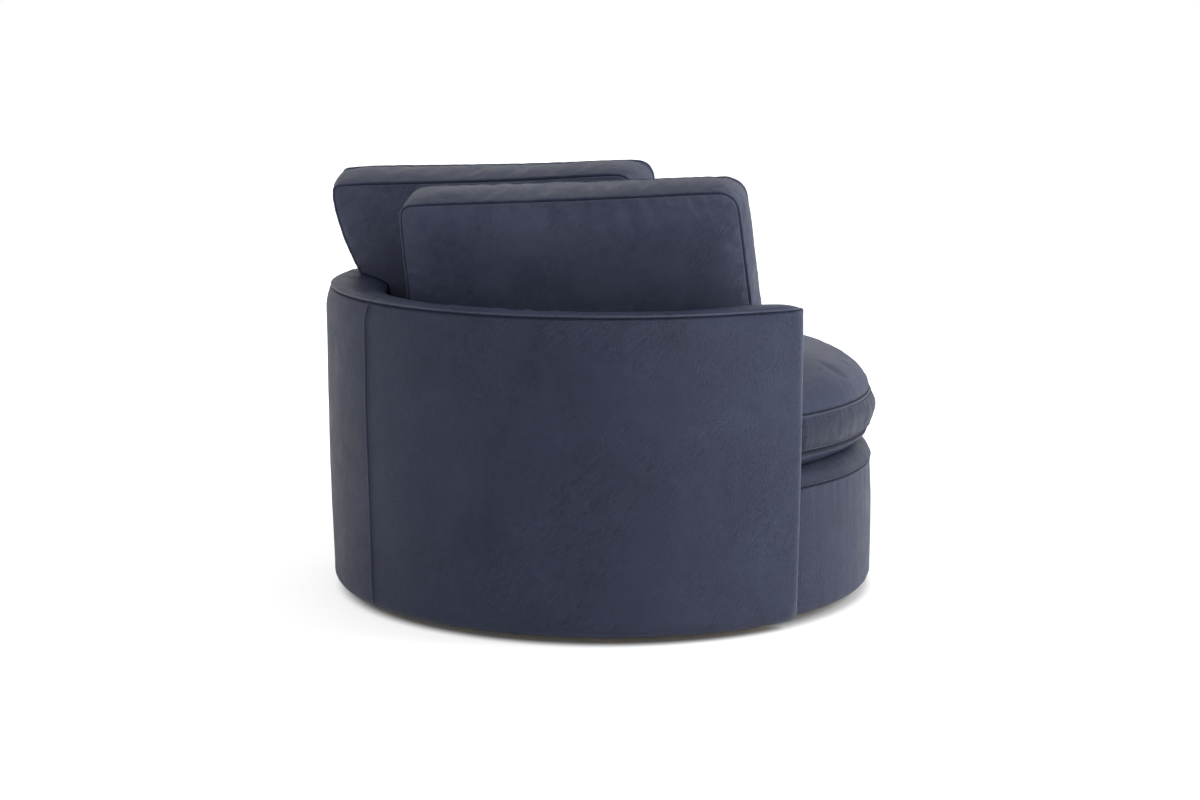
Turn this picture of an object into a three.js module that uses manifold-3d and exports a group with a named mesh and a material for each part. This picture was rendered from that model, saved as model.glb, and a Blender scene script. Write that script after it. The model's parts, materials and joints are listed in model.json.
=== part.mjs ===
// Round leather cuddle chair on a hidden swivel plinth, in millimetres, +Z up.
// The front is towards -Y, and the origin lies on the floor, on the swivel axis.

import * as THREE from 'three';
import * as BufferGeometryUtils from 'three/addons/utils/BufferGeometryUtils.js';
import Module from 'manifold-3d';

const wasm = await Module();
wasm.setup();

// Driving dimensions of the whole chair
const fitGap = 0.3; // clearance between two pieces that touch
const cutOverrun = 2; // how far a cutting tool runs past the face it cuts
const floorClearance = 15; // leather edge above the floor
const leatherThickness = 2;
const plyThickness = 18;
const bentPlyThickness = 4;

// Wall of the shell
const shellOuterRadius = 591;
const wallThickness = 123;
const shellHalfAngle = THREE.MathUtils.degToRad(94.4); // each way from the middle of the back
const rimSeamHeight = 638;
const rimCrown = 16;
const rimInnerFall = 18; // the rim's inner seam lies lower than its outer one
const rimRoundShare = 0.83; // exponent of the rim's section, 1 is an ellipse
const rimEndDrop = 0.85; // share of the crown that is lost at the arm's front edge
const rimEndLength = 42; // length along the arm over which the crown drops
const shoulderDrop = 46; // below the rim seam, where the outer face starts to roll in
const shoulderInset = 10.5; // at the rim seam
const shoulderPower = 2.2;
const seamGap = 1; // groove between two panels of leather
const footInset = 8; // the wall is narrower by this at the floor
const footRoll = 22; // rounded lower edge
const flareHeight = 417; // above it the wall is upright
const flareMiddleInset = 4;
const flareMiddleHeight = 181;
const hemWidth = 16;
const frameBelowSeam = 28; // from the rim seam down to the top of the wooden shell
const shellWaddingThickness = 8; // at the foot, thicker above
const shellInnerFoamThickness = 18;
const armFrontPadThickness = 10;
const innerCoverBottom = 322;

// Base below the seat
const baseStepIn = 30; // the base is narrower than the shell by this
const baseSeamHeight = 277;
const baseFootRoll = 24;
const baseWaddingThickness = 12;
const deckTop = 313;
const baseSeamInset = 4; // the side draws in by this up to its top seam
const baseTaperStart = 215;
const deckBorderWidth = 56; // rounded border, from the base's side in to the flat deck
const borderRoundShare = 0.85; // exponent of the border's section, 1 is an ellipse
const deckOpeningInset = 68; // from the wall's inner face to the edge of the opening
const deckRingTop = 288;
const hoopInset = 38; // from the wall's inner face to the opening of the bottom hoop
const dustCoverThickness = 1;
const dustCoverLanding = 32; // the cloth laps over the hoop by this
const deckPostWidth = 54;
const shellPostWidth = 45;

// Seat webbing
const webbingWidth = 60;
const webbingThickness = 2;
const webbingLanding = 45; // length of strap that lies on the deck ring
const webbingPitchAcrossShare = 0.375; // of the opening's radius
const webbingPitchAlongShare = 0.475;

// Plinth and swivel bearing
const floorPadInset = 15; // the felt stays behind the plinth's edge
const floorPadThickness = 4;
const plinthClearance = 30; // between the plinth and the hoop that turns round it
const bearingHeight = 12.6;
const raceRadius = 125;
const raceOuterRadius = 150;
const raceInnerRadius = 70;
const racePlateThickness = 2;
const raceLipHeight = 4;
const raceRidgeHeight = 1.6;
const raceRidgeWidth = 2;
const raceTrackHalfWidth = 8;
const ballCount = 10;
const cageWidth = 12;
const cageThickness = 1.2;
const screwCircleRadius = 95;
const screwHeadRadius = 6;
const screwHeadTopShare = 0.6;
const screwHeadHeight = 2.6;
const screwShankRadius = 2.5;
const screwLength = 12; // below the head
const plinthScrewAzimuth = Math.PI / 4; // the base's own four screws start at nil

// Seat cushion
const seatLowerSeamHeight = 348;
const seatUpperSeamHeight = 428;
const seatSetback = 9; // the seams stand behind the base's side
const seatBoxingBulge = 8;
const seatCrown = 94;
const seatCrownRearShare = 0.4; // the rear sinks under the back cushions
const seatCrownEaseStart = -260; // the crown falls off between these two places, front to back
const seatCrownEaseEnd = 120;
const domeFlatness = 5; // a higher power keeps the top flat closer to the seam
const domeRoundShare = 0.6;
const seatUndersideInset = 42;
const seatSideClearance = 3; // between the cushion and the shell

// Back cushions
const backCushionWidthShare = 1.453; // of the wall's inner radius
const backCushionHeight = 376;
const backCushionThicknessShare = 0.31;
const backCushionCrown = 16;
const backCushionBulge = 7;
const backCushionDrawIn = 8;
const backCushionLean = THREE.MathUtils.degToRad(9);
const backCushionRoll = THREE.MathUtils.degToRad(3.5);
const backCushionWallGap = 0.5;
const squeezeDepth = 187; // below the top edge, where the wall's squeeze is full
const boxCrownFlatness = 4;
const squeezePower = 1.5;
const zipSlit = 1.6;
const zipCutDepth = 40;
const zipLengthShare = 0.8;
const rightCushionPlace = {
  turn: THREE.MathUtils.degToRad(43.9),
  setbackShare: 0.512,
  sidewaysShare: 0.008,
  lift: 0,
  squeeze: 0,
};
const leftCushionPlace = {
  turn: THREE.MathUtils.degToRad(35.4),
  setbackShare: 0.074,
  sidewaysShare: 0.454,
  lift: 17, // the wall squeezes its end and holds it up
  squeeze: 77,
};

const shellSteps = 20; // steps round the shell
const frontSteps = 20; // steps round the front of the base

// Values that follow from the driving dimensions
const shellInnerRadius = shellOuterRadius - wallThickness;
const shellMiddleRadius = (shellOuterRadius + shellInnerRadius) / 2;
const footRadius = shellOuterRadius - footInset;
const baseRadius = shellOuterRadius - baseStepIn;
const deckEdgeRadius = baseRadius - deckBorderWidth;
const deckOpeningRadius = shellInnerRadius - deckOpeningInset;
const webbingPitchAcross = deckOpeningRadius * webbingPitchAcrossShare;
const webbingPitchAlong = deckOpeningRadius * webbingPitchAlongShare;
const hoopInnerRadius = shellInnerRadius - hoopInset;
const dustCoverOuterRadius = hoopInnerRadius + dustCoverLanding;
const plinthRadius = hoopInnerRadius - plinthClearance;
const floorPadRadius = plinthRadius - floorPadInset;
const seatSeamRadius = baseRadius - seatSetback;
const backCushionWidth = shellInnerRadius * backCushionWidthShare;
const backCushionThickness = shellInnerRadius * backCushionThicknessShare;
const skin = leatherThickness + fitGap; // what lies behind the leather starts here
const outerPanelRadius = footRadius - skin - shellWaddingThickness - fitGap;
const innerPanelRadius = shellInnerRadius + skin + shellInnerFoamThickness + fitGap;
const chordShare = Math.cos(shellHalfAngle / shellSteps); // middle of a facet against its corner
const railInnerRadius = (innerPanelRadius + bentPlyThickness + fitGap) / chordShare;
const railOuterRadius = (outerPanelRadius - bentPlyThickness - fitGap) * chordShare;
const shellFrameTop = rimSeamHeight - frameBelowSeam;
const rimInnerSeamHeight = rimSeamHeight - rimInnerFall;

const plinthTop = floorPadThickness + fitGap + plyThickness;
const bearingBottom = plinthTop + fitGap;
const bearingTop = bearingBottom + bearingHeight;
const boardBottom = bearingTop + fitGap;
const boardTop = boardBottom + plyThickness;
const hoopBottom = floorClearance + skin;
const deckRingBottom = deckRingTop - plyThickness;

const fasciaOuterRadius = baseRadius - skin - baseWaddingThickness - fitGap;
const baseFrameRadius = fasciaOuterRadius - bentPlyThickness - fitGap;

const arcAngle = (length) => length / shellMiddleRadius;
const armFront = Math.PI - shellHalfAngle; // azimuth of the arm's front face, from the front
const frontEnd = armFront - arcAngle(fitGap * 2); // the base and the seat stop here
const coverStart = armFront + arcAngle(skin);
const frameStart = coverStart + arcAngle(armFrontPadThickness + fitGap);
const railStart = frameStart + arcAngle(plyThickness + fitGap);

// Finishes
const leather = { color: 0x3d4254, roughness: 0.5, metalness: 0 };
const plywood = { color: 0xc79f6b, roughness: 0.7, metalness: 0 };
const foam = { color: 0xe6dcc0, roughness: 0.95, metalness: 0 };
const steel = { color: 0x9a9ca0, roughness: 0.35, metalness: 1 };
const darkCloth = { color: 0x23242a, roughness: 0.95, metalness: 0 };
const webbingCloth = { color: 0x5a4a3c, roughness: 0.9, metalness: 0 };

const chair = new THREE.Group();

function addPiece(name, geometry, finish, parent = chair) {
  const mesh = new THREE.Mesh(geometry, new THREE.MeshStandardMaterial(finish));
  mesh.name = name;
  parent.add(mesh);
  return mesh;
}

// Merge shared corners, drop empty triangles and turn the faces outwards
function closeSurface(source) {
  const bare = source.index ? source.toNonIndexed() : source.clone();
  bare.deleteAttribute('normal');
  bare.deleteAttribute('uv');
  const merged = BufferGeometryUtils.mergeVertices(bare);
  const place = merged.attributes.position;
  const corners = [new THREE.Vector3(), new THREE.Vector3(), new THREE.Vector3()];
  const kept = [];
  let volume = 0;
  for (let i = 0; i < merged.index.count; i += 3) {
    const face = [0, 1, 2].map((k) => merged.index.getX(i + k));
    if (face[0] === face[1] || face[1] === face[2] || face[2] === face[0]) continue;
    face.forEach((vertex, k) => corners[k].fromBufferAttribute(place, vertex));
    volume += corners[0].dot(corners[1].clone().cross(corners[2]));
    kept.push(face);
  }
  merged.setIndex(kept.flatMap((face) => (volume < 0 ? [face[0], face[2], face[1]] : face)));
  merged.computeVertexNormals();
  return merged;
}

function toSolid(geometry) {
  const closed = closeSurface(geometry);
  return new wasm.Manifold(new wasm.Mesh({
    numProp: 3,
    vertProperties: Float32Array.from(closed.attributes.position.array),
    triVerts: Uint32Array.from(closed.index.array),
  }));
}

function fromSolid(solid) {
  const mesh = solid.getMesh();
  const geometry = new THREE.BufferGeometry();
  geometry.setAttribute('position', new THREE.BufferAttribute(mesh.vertProperties, 3));
  geometry.setIndex(new THREE.BufferAttribute(mesh.triVerts, 1));
  return closeSurface(geometry);
}

function cutAway(geometry, tools) {
  return fromSolid(tools.reduce((solid, tool) => solid.subtract(toSolid(tool)), toSolid(geometry)));
}

// A plan azimuth is measured from the front, and grows towards +X
function polar(radius, azimuth, height) {
  return new THREE.Vector3(radius * Math.sin(azimuth), -radius * Math.cos(azimuth), height);
}

function spread(from, to, steps) {
  return Array.from({ length: steps + 1 }, (_, i) => from + ((to - from) * i) / steps);
}

// Carry a closed section (x is the radius, y is the height) round the chair's axis
function sweepAround(azimuths, sectionAt) {
  const turn = azimuths[azimuths.length - 1] - azimuths[0];
  const fullCircle = turn > Math.PI * 2 - arcAngle(fitGap);
  const stations = fullCircle ? azimuths.slice(0, -1) : azimuths;
  const rings = stations.map((azimuth) => sectionAt(azimuth));
  const count = rings[0].length;
  const points = rings.flatMap((ring, i) => ring.map((p) => polar(p.x, stations[i], p.y)));
  const index = [];
  for (let i = 0; i < (fullCircle ? rings.length : rings.length - 1); i += 1) {
    for (let j = 0; j < count; j += 1) {
      const beside = (j + 1) % count;
      const here = i * count;
      const there = ((i + 1) % rings.length) * count;
      index.push(here + j, here + beside, there + beside, here + j, there + beside, there + j);
    }
  }
  if (!fullCircle) {
    index.push(...capFaces(rings[0], 0, false));
    index.push(...capFaces(rings[rings.length - 1], count * (rings.length - 1), true));
  }
  const geometry = new THREE.BufferGeometry().setFromPoints(points);
  geometry.setIndex(index);
  return closeSurface(geometry);
}

function capFaces(ring, firstVertex, withContour) {
  const ringTurn = Math.sign(THREE.ShapeUtils.area(ring));
  return THREE.ShapeUtils.triangulateShape(ring, []).flatMap(([a, b, c]) => {
    const faceTurn = Math.sign(THREE.ShapeUtils.area([ring[a], ring[b], ring[c]]));
    const forward = (faceTurn === ringTurn) === withContour;
    return (forward ? [a, b, c] : [a, c, b]).map((vertex) => vertex + firstVertex);
  });
}

// Shift an open path sideways, to its left
function offsetPath(path, distance) {
  return path.map((point, i) => {
    const before = path[Math.max(i - 1, 0)];
    const after = path[Math.min(i + 1, path.length - 1)];
    const along = after.clone().sub(before).normalize();
    return new THREE.Vector2(point.x - along.y * distance, point.y + along.x * distance);
  });
}

// A sheet of leather with its outer face on the path
function sheetSection(path, thickness = leatherThickness) {
  return [...path, ...offsetPath(path, thickness).reverse()];
}

const at = (radius, height) => new THREE.Vector2(radius, height);

function rectangle(innerRadius, outerRadius, bottom, top) {
  return [at(innerRadius, bottom), at(outerRadius, bottom), at(outerRadius, top), at(innerRadius, top)];
}

function quarterRoll(centreRadius, centreHeight, roll, fromTurn, toTurn, steps = 3) {
  return spread(fromTurn, toTurn, steps).map((turn) => (
    at(centreRadius + roll * Math.cos(turn), centreHeight + roll * Math.sin(turn))
  ));
}

// Radius of the outer face where it rolls in towards the rim seam
function shoulderRadius(height) {
  const share = Math.max(1 - (rimSeamHeight - height) / shoulderDrop, 0);
  return shellOuterRadius - shoulderInset * share ** shoulderPower;
}

// Outer face of the shell, from the hem under the edge up to the rim seam
function shellOuterPath() {
  const rollRadius = footRadius - footRoll;
  const shoulder = [
    rimSeamHeight - shoulderDrop,
    shellFrameTop,
    (shellFrameTop + rimSeamHeight) / 2,
    rimSeamHeight - seamGap,
  ];
  return [
    at(rollRadius - hemWidth, floorClearance),
    ...quarterRoll(rollRadius, floorClearance + footRoll, footRoll, -Math.PI / 2, 0),
    at(shellOuterRadius - flareMiddleInset, flareMiddleHeight),
    at(shellOuterRadius, flareHeight),
    ...shoulder.map((height) => at(shoulderRadius(height), height)),
  ];
}

// Rounded top of the wall, from the outer seam over the crown to the lower inner seam
function rimPath(azimuth, steps = 8) {
  const outerRadius = shoulderRadius(rimSeamHeight);
  return spread(0, Math.PI, steps).map((turn) => {
    const across = Math.sign(Math.cos(turn)) * Math.abs(Math.cos(turn)) ** rimRoundShare;
    const up = Math.max(Math.sin(turn), 0) ** rimRoundShare;
    const share = (1 - across) / 2;
    return at(
      THREE.MathUtils.lerp(outerRadius, shellInnerRadius, share),
      THREE.MathUtils.lerp(rimSeamHeight, rimInnerSeamHeight, share) + rimCrownAt(azimuth) * up,
    );
  });
}

// The rim's section drawn in, with both ends still level with their seams
function rimWithin(azimuth, inset) {
  return [
    at(shoulderRadius(rimSeamHeight) - inset, rimSeamHeight),
    ...offsetPath(rimPath(azimuth), inset).slice(1, -1),
    at(shellInnerRadius + inset, rimInnerSeamHeight),
  ];
}

// The crown drops in a quarter round towards the front edge of each arm
function rimCrownAt(azimuth) {
  const fromEnd = shellHalfAngle - Math.abs(azimuth - Math.PI);
  const share = Math.min(fromEnd / arcAngle(rimEndLength), 1);
  return rimCrown * (1 - rimEndDrop * (1 - Math.sqrt(Math.max(1 - (1 - share) ** 2, 0))));
}

// Azimuths that every piece of the shell shares, so that nested arcs keep their gap
function shellStations(start) {
  const curve = spread(frameStart, armFront + arcAngle(rimEndLength), 3).slice(1);
  const side = [armFront, armFront + arcAngle(leatherThickness), coverStart, frameStart, railStart, ...curve]
    .sort((a, b) => a - b);
  const rear = spread(side[side.length - 1], Math.PI, shellSteps / 2).slice(1);
  const half = [...side, ...rear].filter((azimuth) => azimuth >= start - arcAngle(fitGap) / 2);
  return [...half, ...half.slice(0, -1).reverse().map((azimuth) => Math.PI * 2 - azimuth)];
}

// Plan outline of a board that lies under the shell and fills the front of the base
function boardShape(frontRadius, rearRadius) {
  const notchRadius = shellInnerRadius - fitGap * 2;
  const arcs = [
    [frontRadius, frontAzimuths()],
    [notchRadius, [frontEnd, frameStart]],
    [rearRadius, shellStations(frameStart)],
    [notchRadius, [Math.PI * 2 - frameStart, Math.PI * 2 - frontEnd]],
  ];
  return new THREE.Shape(arcs.flatMap(([radius, azimuths]) => azimuths.map((azimuth) => {
    const place = polar(radius, azimuth, 0);
    return new THREE.Vector2(place.x, place.y);
  })));
}

function roundHole(radius) {
  const hole = new THREE.Path();
  hole.absarc(0, 0, radius, 0, Math.PI * 2, true);
  return hole;
}

function extrudeUp(shape, bottom, thickness, curveSegments = 14) {
  const geometry = new THREE.ExtrudeGeometry(shape, {
    depth: thickness,
    bevelEnabled: false,
    curveSegments,
  });
  geometry.translate(0, 0, bottom);
  return closeSurface(geometry);
}

// Lathe a closed section round the chair's axis
function turned(section, segments = 32) {
  const geometry = new THREE.LatheGeometry([...section, section[0]], segments);
  geometry.rotateX(Math.PI / 2);
  return closeSurface(geometry);
}

// Plinth on the floor
function makePlinth() {
  const pad = rectangle(0, floorPadRadius, 0, floorPadThickness);
  addPiece('floor_pad', turned(pad), darkCloth);
  const disc = turned(rectangle(0, plinthRadius, floorPadThickness + fitGap, plinthTop));
  const holes = screwHoles(plinthScrewAzimuth, plinthTop - screwLength, plinthTop + cutOverrun);
  addPiece('plinth_disc', cutAway(disc, holes), plywood);
}

function screwPlaces(firstAzimuth) {
  return [0, 1, 2, 3].map((i) => polar(screwCircleRadius, firstAzimuth + (i * Math.PI) / 2, 0));
}

function screwHoles(firstAzimuth, bottom, top) {
  const radius = screwShankRadius + fitGap;
  return screwPlaces(firstAzimuth).map((place) => {
    const hole = new THREE.CylinderGeometry(radius, radius, top - bottom, 8);
    hole.rotateX(Math.PI / 2);
    hole.translate(place.x, place.y, (bottom + top) / 2);
    return hole;
  });
}

// Section of a race plate: two ridges beside the ball track, and a dust lip where asked for
function racePlateSection(base, up, outerRadius, lip) {
  const face = base + up * racePlateThickness;
  const ridge = (radius) => [
    at(radius + raceRidgeWidth, face),
    at(radius + raceRidgeWidth, face + up * raceRidgeHeight),
    at(radius, face + up * raceRidgeHeight),
    at(radius, face),
  ];
  const edge = lip > 0
    ? [at(outerRadius, face + up * lip), at(outerRadius - raceRidgeWidth, face + up * lip),
      at(outerRadius - raceRidgeWidth, face)]
    : [at(outerRadius, face)];
  return [
    at(raceInnerRadius, base),
    at(outerRadius, base),
    ...edge,
    ...ridge(raceRadius + raceTrackHalfWidth),
    ...ridge(raceRadius - raceTrackHalfWidth - raceRidgeWidth),
    at(raceInnerRadius, face),
  ];
}

function screwGeometry() {
  const profile = [
    at(0, screwHeadHeight),
    at(screwHeadRadius * screwHeadTopShare, screwHeadHeight),
    at(screwHeadRadius, 0),
    at(screwShankRadius, 0),
    at(screwShankRadius, -screwLength + screwShankRadius),
    at(0, -screwLength),
  ];
  const geometry = new THREE.LatheGeometry(profile, 12);
  geometry.rotateX(Math.PI / 2);
  return closeSurface(geometry);
}

function makeBearing() {
  const lower = turned(racePlateSection(bearingBottom, 1, raceOuterRadius, raceLipHeight));
  const lowerHoles = screwHoles(
    plinthScrewAzimuth, bearingBottom - cutOverrun, bearingBottom + racePlateThickness + cutOverrun,
  );
  addPiece('lower_race_plate', cutAway(lower, lowerHoles), steel);

  const upperRadius = raceOuterRadius - raceRidgeWidth * 2;
  const upper = turned(racePlateSection(bearingTop, -1, upperRadius, 0));
  const upperHoles = screwHoles(
    0, bearingTop - racePlateThickness - cutOverrun, bearingTop + cutOverrun,
  );
  addPiece('upper_race_plate', cutAway(upper, upperHoles), steel);

  const track = bearingHeight - racePlateThickness * 2;
  const ballRadius = track / 2 - fitGap;
  const middle = bearingBottom + bearingHeight / 2;
  const cage = toSolid(turned(rectangle(
    raceRadius - cageWidth / 2, raceRadius + cageWidth / 2,
    middle - cageThickness / 2, middle + cageThickness / 2,
  ), 24));
  const withBalls = spread(0, Math.PI * 2, ballCount).slice(0, -1).reduce((solid, azimuth) => {
    const ball = new THREE.IcosahedronGeometry(ballRadius, 1);
    const place = polar(raceRadius, azimuth, middle);
    ball.translate(place.x, place.y, place.z);
    return solid.add(toSolid(ball));
  }, cage);
  addPiece('ball_cage', fromSolid(withBalls), steel);

  screwPlaces(plinthScrewAzimuth).forEach((place, i) => {
    const screw = addPiece(`plinth_screw_${i + 1}`, screwGeometry(), steel);
    screw.position.set(place.x, place.y, bearingBottom + racePlateThickness + fitGap);
  });
  screwPlaces(0).forEach((place, i) => {
    const screw = addPiece(`base_screw_${i + 1}`, screwGeometry(), steel);
    screw.position.set(place.x, place.y, bearingTop - racePlateThickness - fitGap);
    screw.rotation.x = Math.PI;
  });
}

// Boards and posts of the base
function makeBaseFrame() {
  const hoop = boardShape(baseRadius - baseFootRoll, footRadius - footRoll);
  hoop.holes.push(roundHole(hoopInnerRadius));
  addPiece('bottom_hoop', extrudeUp(hoop, hoopBottom, boardBottom - fitGap - hoopBottom), plywood);

  const board = extrudeUp(boardShape(baseFrameRadius, outerPanelRadius), boardBottom, plyThickness);
  const boardHoles = screwHoles(0, boardBottom - cutOverrun, boardBottom + screwLength);
  addPiece('base_board', cutAway(board, boardHoles), plywood);

  const postBottom = boardTop + fitGap;
  const postTop = deckRingBottom - fitGap;
  const postRadius = deckOpeningRadius + deckPostWidth / 2 + fitGap;
  [-1, 1].forEach((side, column) => {
    [Math.PI / 4, (Math.PI * 3) / 4].forEach((azimuth, row) => {
      const block = new THREE.BoxGeometry(deckPostWidth, deckPostWidth, postTop - postBottom);
      const post = addPiece(`deck_post_${column * 2 + row + 1}`, closeSurface(block), plywood);
      post.position.copy(polar(postRadius, side * azimuth, (postBottom + postTop) / 2));
      post.rotation.z = side * azimuth;
    });
  });

  const ring = boardShape(baseFrameRadius, innerPanelRadius - fitGap);
  ring.holes.push(roundHole(deckOpeningRadius));
  addPiece('deck_ring', extrudeUp(ring, deckRingBottom, plyThickness), plywood);

  const fasciaInner = fasciaOuterRadius - bentPlyThickness;
  const fascia = rectangle(fasciaInner, fasciaOuterRadius, boardBottom, deckRingTop);
  addPiece('base_fascia', sweepAround(frontAzimuths(), () => fascia), plywood);
}

function frontAzimuths(steps = frontSteps) {
  return spread(-frontEnd, frontEnd, steps);
}

// Woven straps across the deck opening, one above and one below at each crossing
function makeWebbing() {
  const weave = webbingThickness / 2 + fitGap;
  const middle = deckRingTop + fitGap + webbingThickness / 2 + weave;
  const columns = [-1.5, -0.5, 0.5, 1.5].map((share) => share * webbingPitchAcross);
  const rows = [-1, 0, 1].map((share) => share * webbingPitchAlong);
  const strap = (crossings, halfLength, firstUp) => {
    const low = middle - weave;
    const top = [at(-halfLength, low)];
    crossings.forEach((crossing, i) => {
      const height = (i % 2 === 0) === firstUp ? middle + weave : low;
      top.push(at(crossing - webbingWidth / 2 - weave * 2, height));
      top.push(at(crossing + webbingWidth / 2 + weave * 2, height));
    });
    top.push(at(halfLength, low));
    const half = webbingThickness / 2;
    const outline = [
      ...top.map((p) => at(p.x, p.y + half)),
      ...top.map((p) => at(p.x, p.y - half)).reverse(),
    ];
    const geometry = new THREE.ExtrudeGeometry(new THREE.Shape(outline), {
      depth: webbingWidth,
      bevelEnabled: false,
    });
    geometry.translate(0, 0, -webbingWidth / 2);
    geometry.rotateX(Math.PI / 2);
    return geometry;
  };
  const halfLengthAt = (offset) => {
    const edge = Math.abs(offset) + webbingWidth / 2;
    return Math.sqrt(deckOpeningRadius ** 2 - edge ** 2) + webbingLanding;
  };
  rows.forEach((y, i) => {
    const cross = strap(columns, halfLengthAt(y), i % 2 === 0);
    cross.translate(0, y, 0);
    addPiece(`webbing_cross_${i + 1}`, closeSurface(cross), webbingCloth);
  });
  columns.forEach((x, i) => {
    const long = strap(rows, halfLengthAt(x), i % 2 === 1);
    long.rotateZ(Math.PI / 2);
    long.translate(x, 0, 0);
    addPiece(`webbing_long_${i + 1}`, closeSurface(long), webbingCloth);
  });
  return middle + weave + webbingThickness / 2;
}

// Full circle of azimuths, with close pairs where the front steps in beside the arms
function deckAzimuths(step, inset = 0) {
  const end = frontEnd - arcAngle(inset);
  const rear = spread(frontEnd + step, Math.PI * 2 - frontEnd - step, frontSteps - 4);
  return [-end, ...frontAzimuths().slice(1, -1), end, ...rear, Math.PI * 2 - end];
}

const inFront = (azimuth) => Math.cos(azimuth) > Math.cos(frontEnd + arcAngle(fitGap) / 2);

function makeDeck(webbingTop) {
  const step = arcAngle(fitGap);
  const rearRadius = shellInnerRadius - fitGap * 2;
  const padBottom = webbingTop + fitGap;
  const padTop = deckTop - skin;
  const border = deckBorderPath();
  const padEdge = offsetPath([...border, at(0, deckTop)], skin).slice(3, -1);
  addPiece('deck_pad', sweepAround(deckAzimuths(step, skin), (azimuth) => {
    const edge = inFront(azimuth)
      ? [at(padEdge[0].x, padBottom), ...padEdge]
      : [at(rearRadius - skin, padBottom), ...padEdge.map((_, i) => at(rearRadius - (i + 1) * skin, padTop))];
    return [at(0, padBottom), ...edge, at(0, padTop)];
  }), foam);

  addPiece('deck_cover', sweepAround(deckAzimuths(step), (azimuth) => {
    const flat = border.map((_, i) => at(rearRadius - i * skin, deckTop));
    const path = inFront(azimuth) ? border : flat;
    return sheetSection([...path, at(0, deckTop)]);
  }), leather);
}

// Rounded border from the base seam up and in to the flat deck
function deckBorderPath() {
  const width = baseRadius - baseSeamInset - deckEdgeRadius;
  const height = deckTop - baseSeamHeight;
  return spread(0, Math.PI / 2, 5).map((turn) => at(
    deckEdgeRadius + width * Math.max(Math.cos(turn), 0) ** borderRoundShare,
    baseSeamHeight + height * Math.sin(turn) ** borderRoundShare,
  ));
}

// Upholstery round the front of the base
function makeBaseUpholstery() {
  const rollRadius = baseRadius - baseFootRoll;
  const side = [
    at(baseRadius, floorClearance + baseFootRoll),
    at(baseRadius, baseTaperStart),
    at(baseRadius - baseSeamInset, baseSeamHeight - seamGap),
  ];
  const cover = [
    at(rollRadius - hemWidth, floorClearance),
    ...quarterRoll(rollRadius, side[0].y, baseFootRoll, -Math.PI / 2, 0).slice(0, -1),
    ...side,
  ];
  addPiece('base_cover', sweepAround(frontAzimuths(), () => sheetSection(cover)), leather);

  const inner = fasciaOuterRadius + fitGap;
  const top = offsetPath(deckBorderPath(), skin)[1];
  const wadding = [at(inner, side[0].y), ...offsetPath(side, skin), top, at(inner, top.y)];
  addPiece('base_wadding', sweepAround(frontAzimuths(), () => wadding), foam);

  const dustTop = hoopBottom - fitGap;
  const dust = rectangle(hoopInnerRadius, dustCoverOuterRadius, dustTop - dustCoverThickness, dustTop);
  addPiece('dust_cover', turned(dust), darkCloth);
}

// Bent plywood walls, rails and posts of the shell
function makeShellFrame() {
  const bottom = boardTop + fitGap;
  const railBottomTop = bottom + plyThickness;
  const railTopBottom = shellFrameTop - plyThickness;
  const wall = (radius) => rectangle(radius, radius + bentPlyThickness, bottom, shellFrameTop);
  const rail = (low, high) => rectangle(railInnerRadius, railOuterRadius, low, high);
  const around = (start, section) => sweepAround(shellStations(start), () => section);
  addPiece('shell_inner_panel', around(frameStart, wall(innerPanelRadius)), plywood);
  addPiece('shell_outer_panel', around(frameStart, wall(outerPanelRadius - bentPlyThickness)), plywood);
  addPiece('bottom_rail', around(railStart, rail(bottom, railBottomTop)), plywood);
  addPiece('top_rail', around(railStart, rail(railTopBottom, shellFrameTop)), plywood);

  const board = rail(bottom, shellFrameTop);
  const boardEnd = frameStart + arcAngle(plyThickness);
  addPiece('arm_board_left', sweepAround([frameStart, boardEnd], () => board), plywood);
  addPiece('arm_board_right', sweepAround([-boardEnd, -frameStart], () => board), plywood);

  const post = rail(railBottomTop + fitGap, railTopBottom - fitGap);
  const half = arcAngle(shellPostWidth / 2);
  const quarter = (Math.PI - railStart) / 2;
  const places = { left: Math.PI - quarter, back: Math.PI, right: Math.PI + quarter };
  Object.entries(places).forEach(([side, azimuth]) => {
    const section = sweepAround(spread(azimuth - half, azimuth + half, 2), () => post);
    addPiece(`shell_post_${side}`, section, plywood);
  });
}

// Outline of the whole wall in section, drawn in by an inset
function wallOutline(azimuth, inset) {
  const inner = shellInnerRadius + inset;
  return [
    at(inner, floorClearance + inset),
    ...offsetPath(shellOuterPath().slice(1), inset),
    ...offsetPath(rimPath(azimuth), inset).slice(1, -1),
    at(inner, rimInnerSeamHeight - seamGap),
  ];
}

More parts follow.
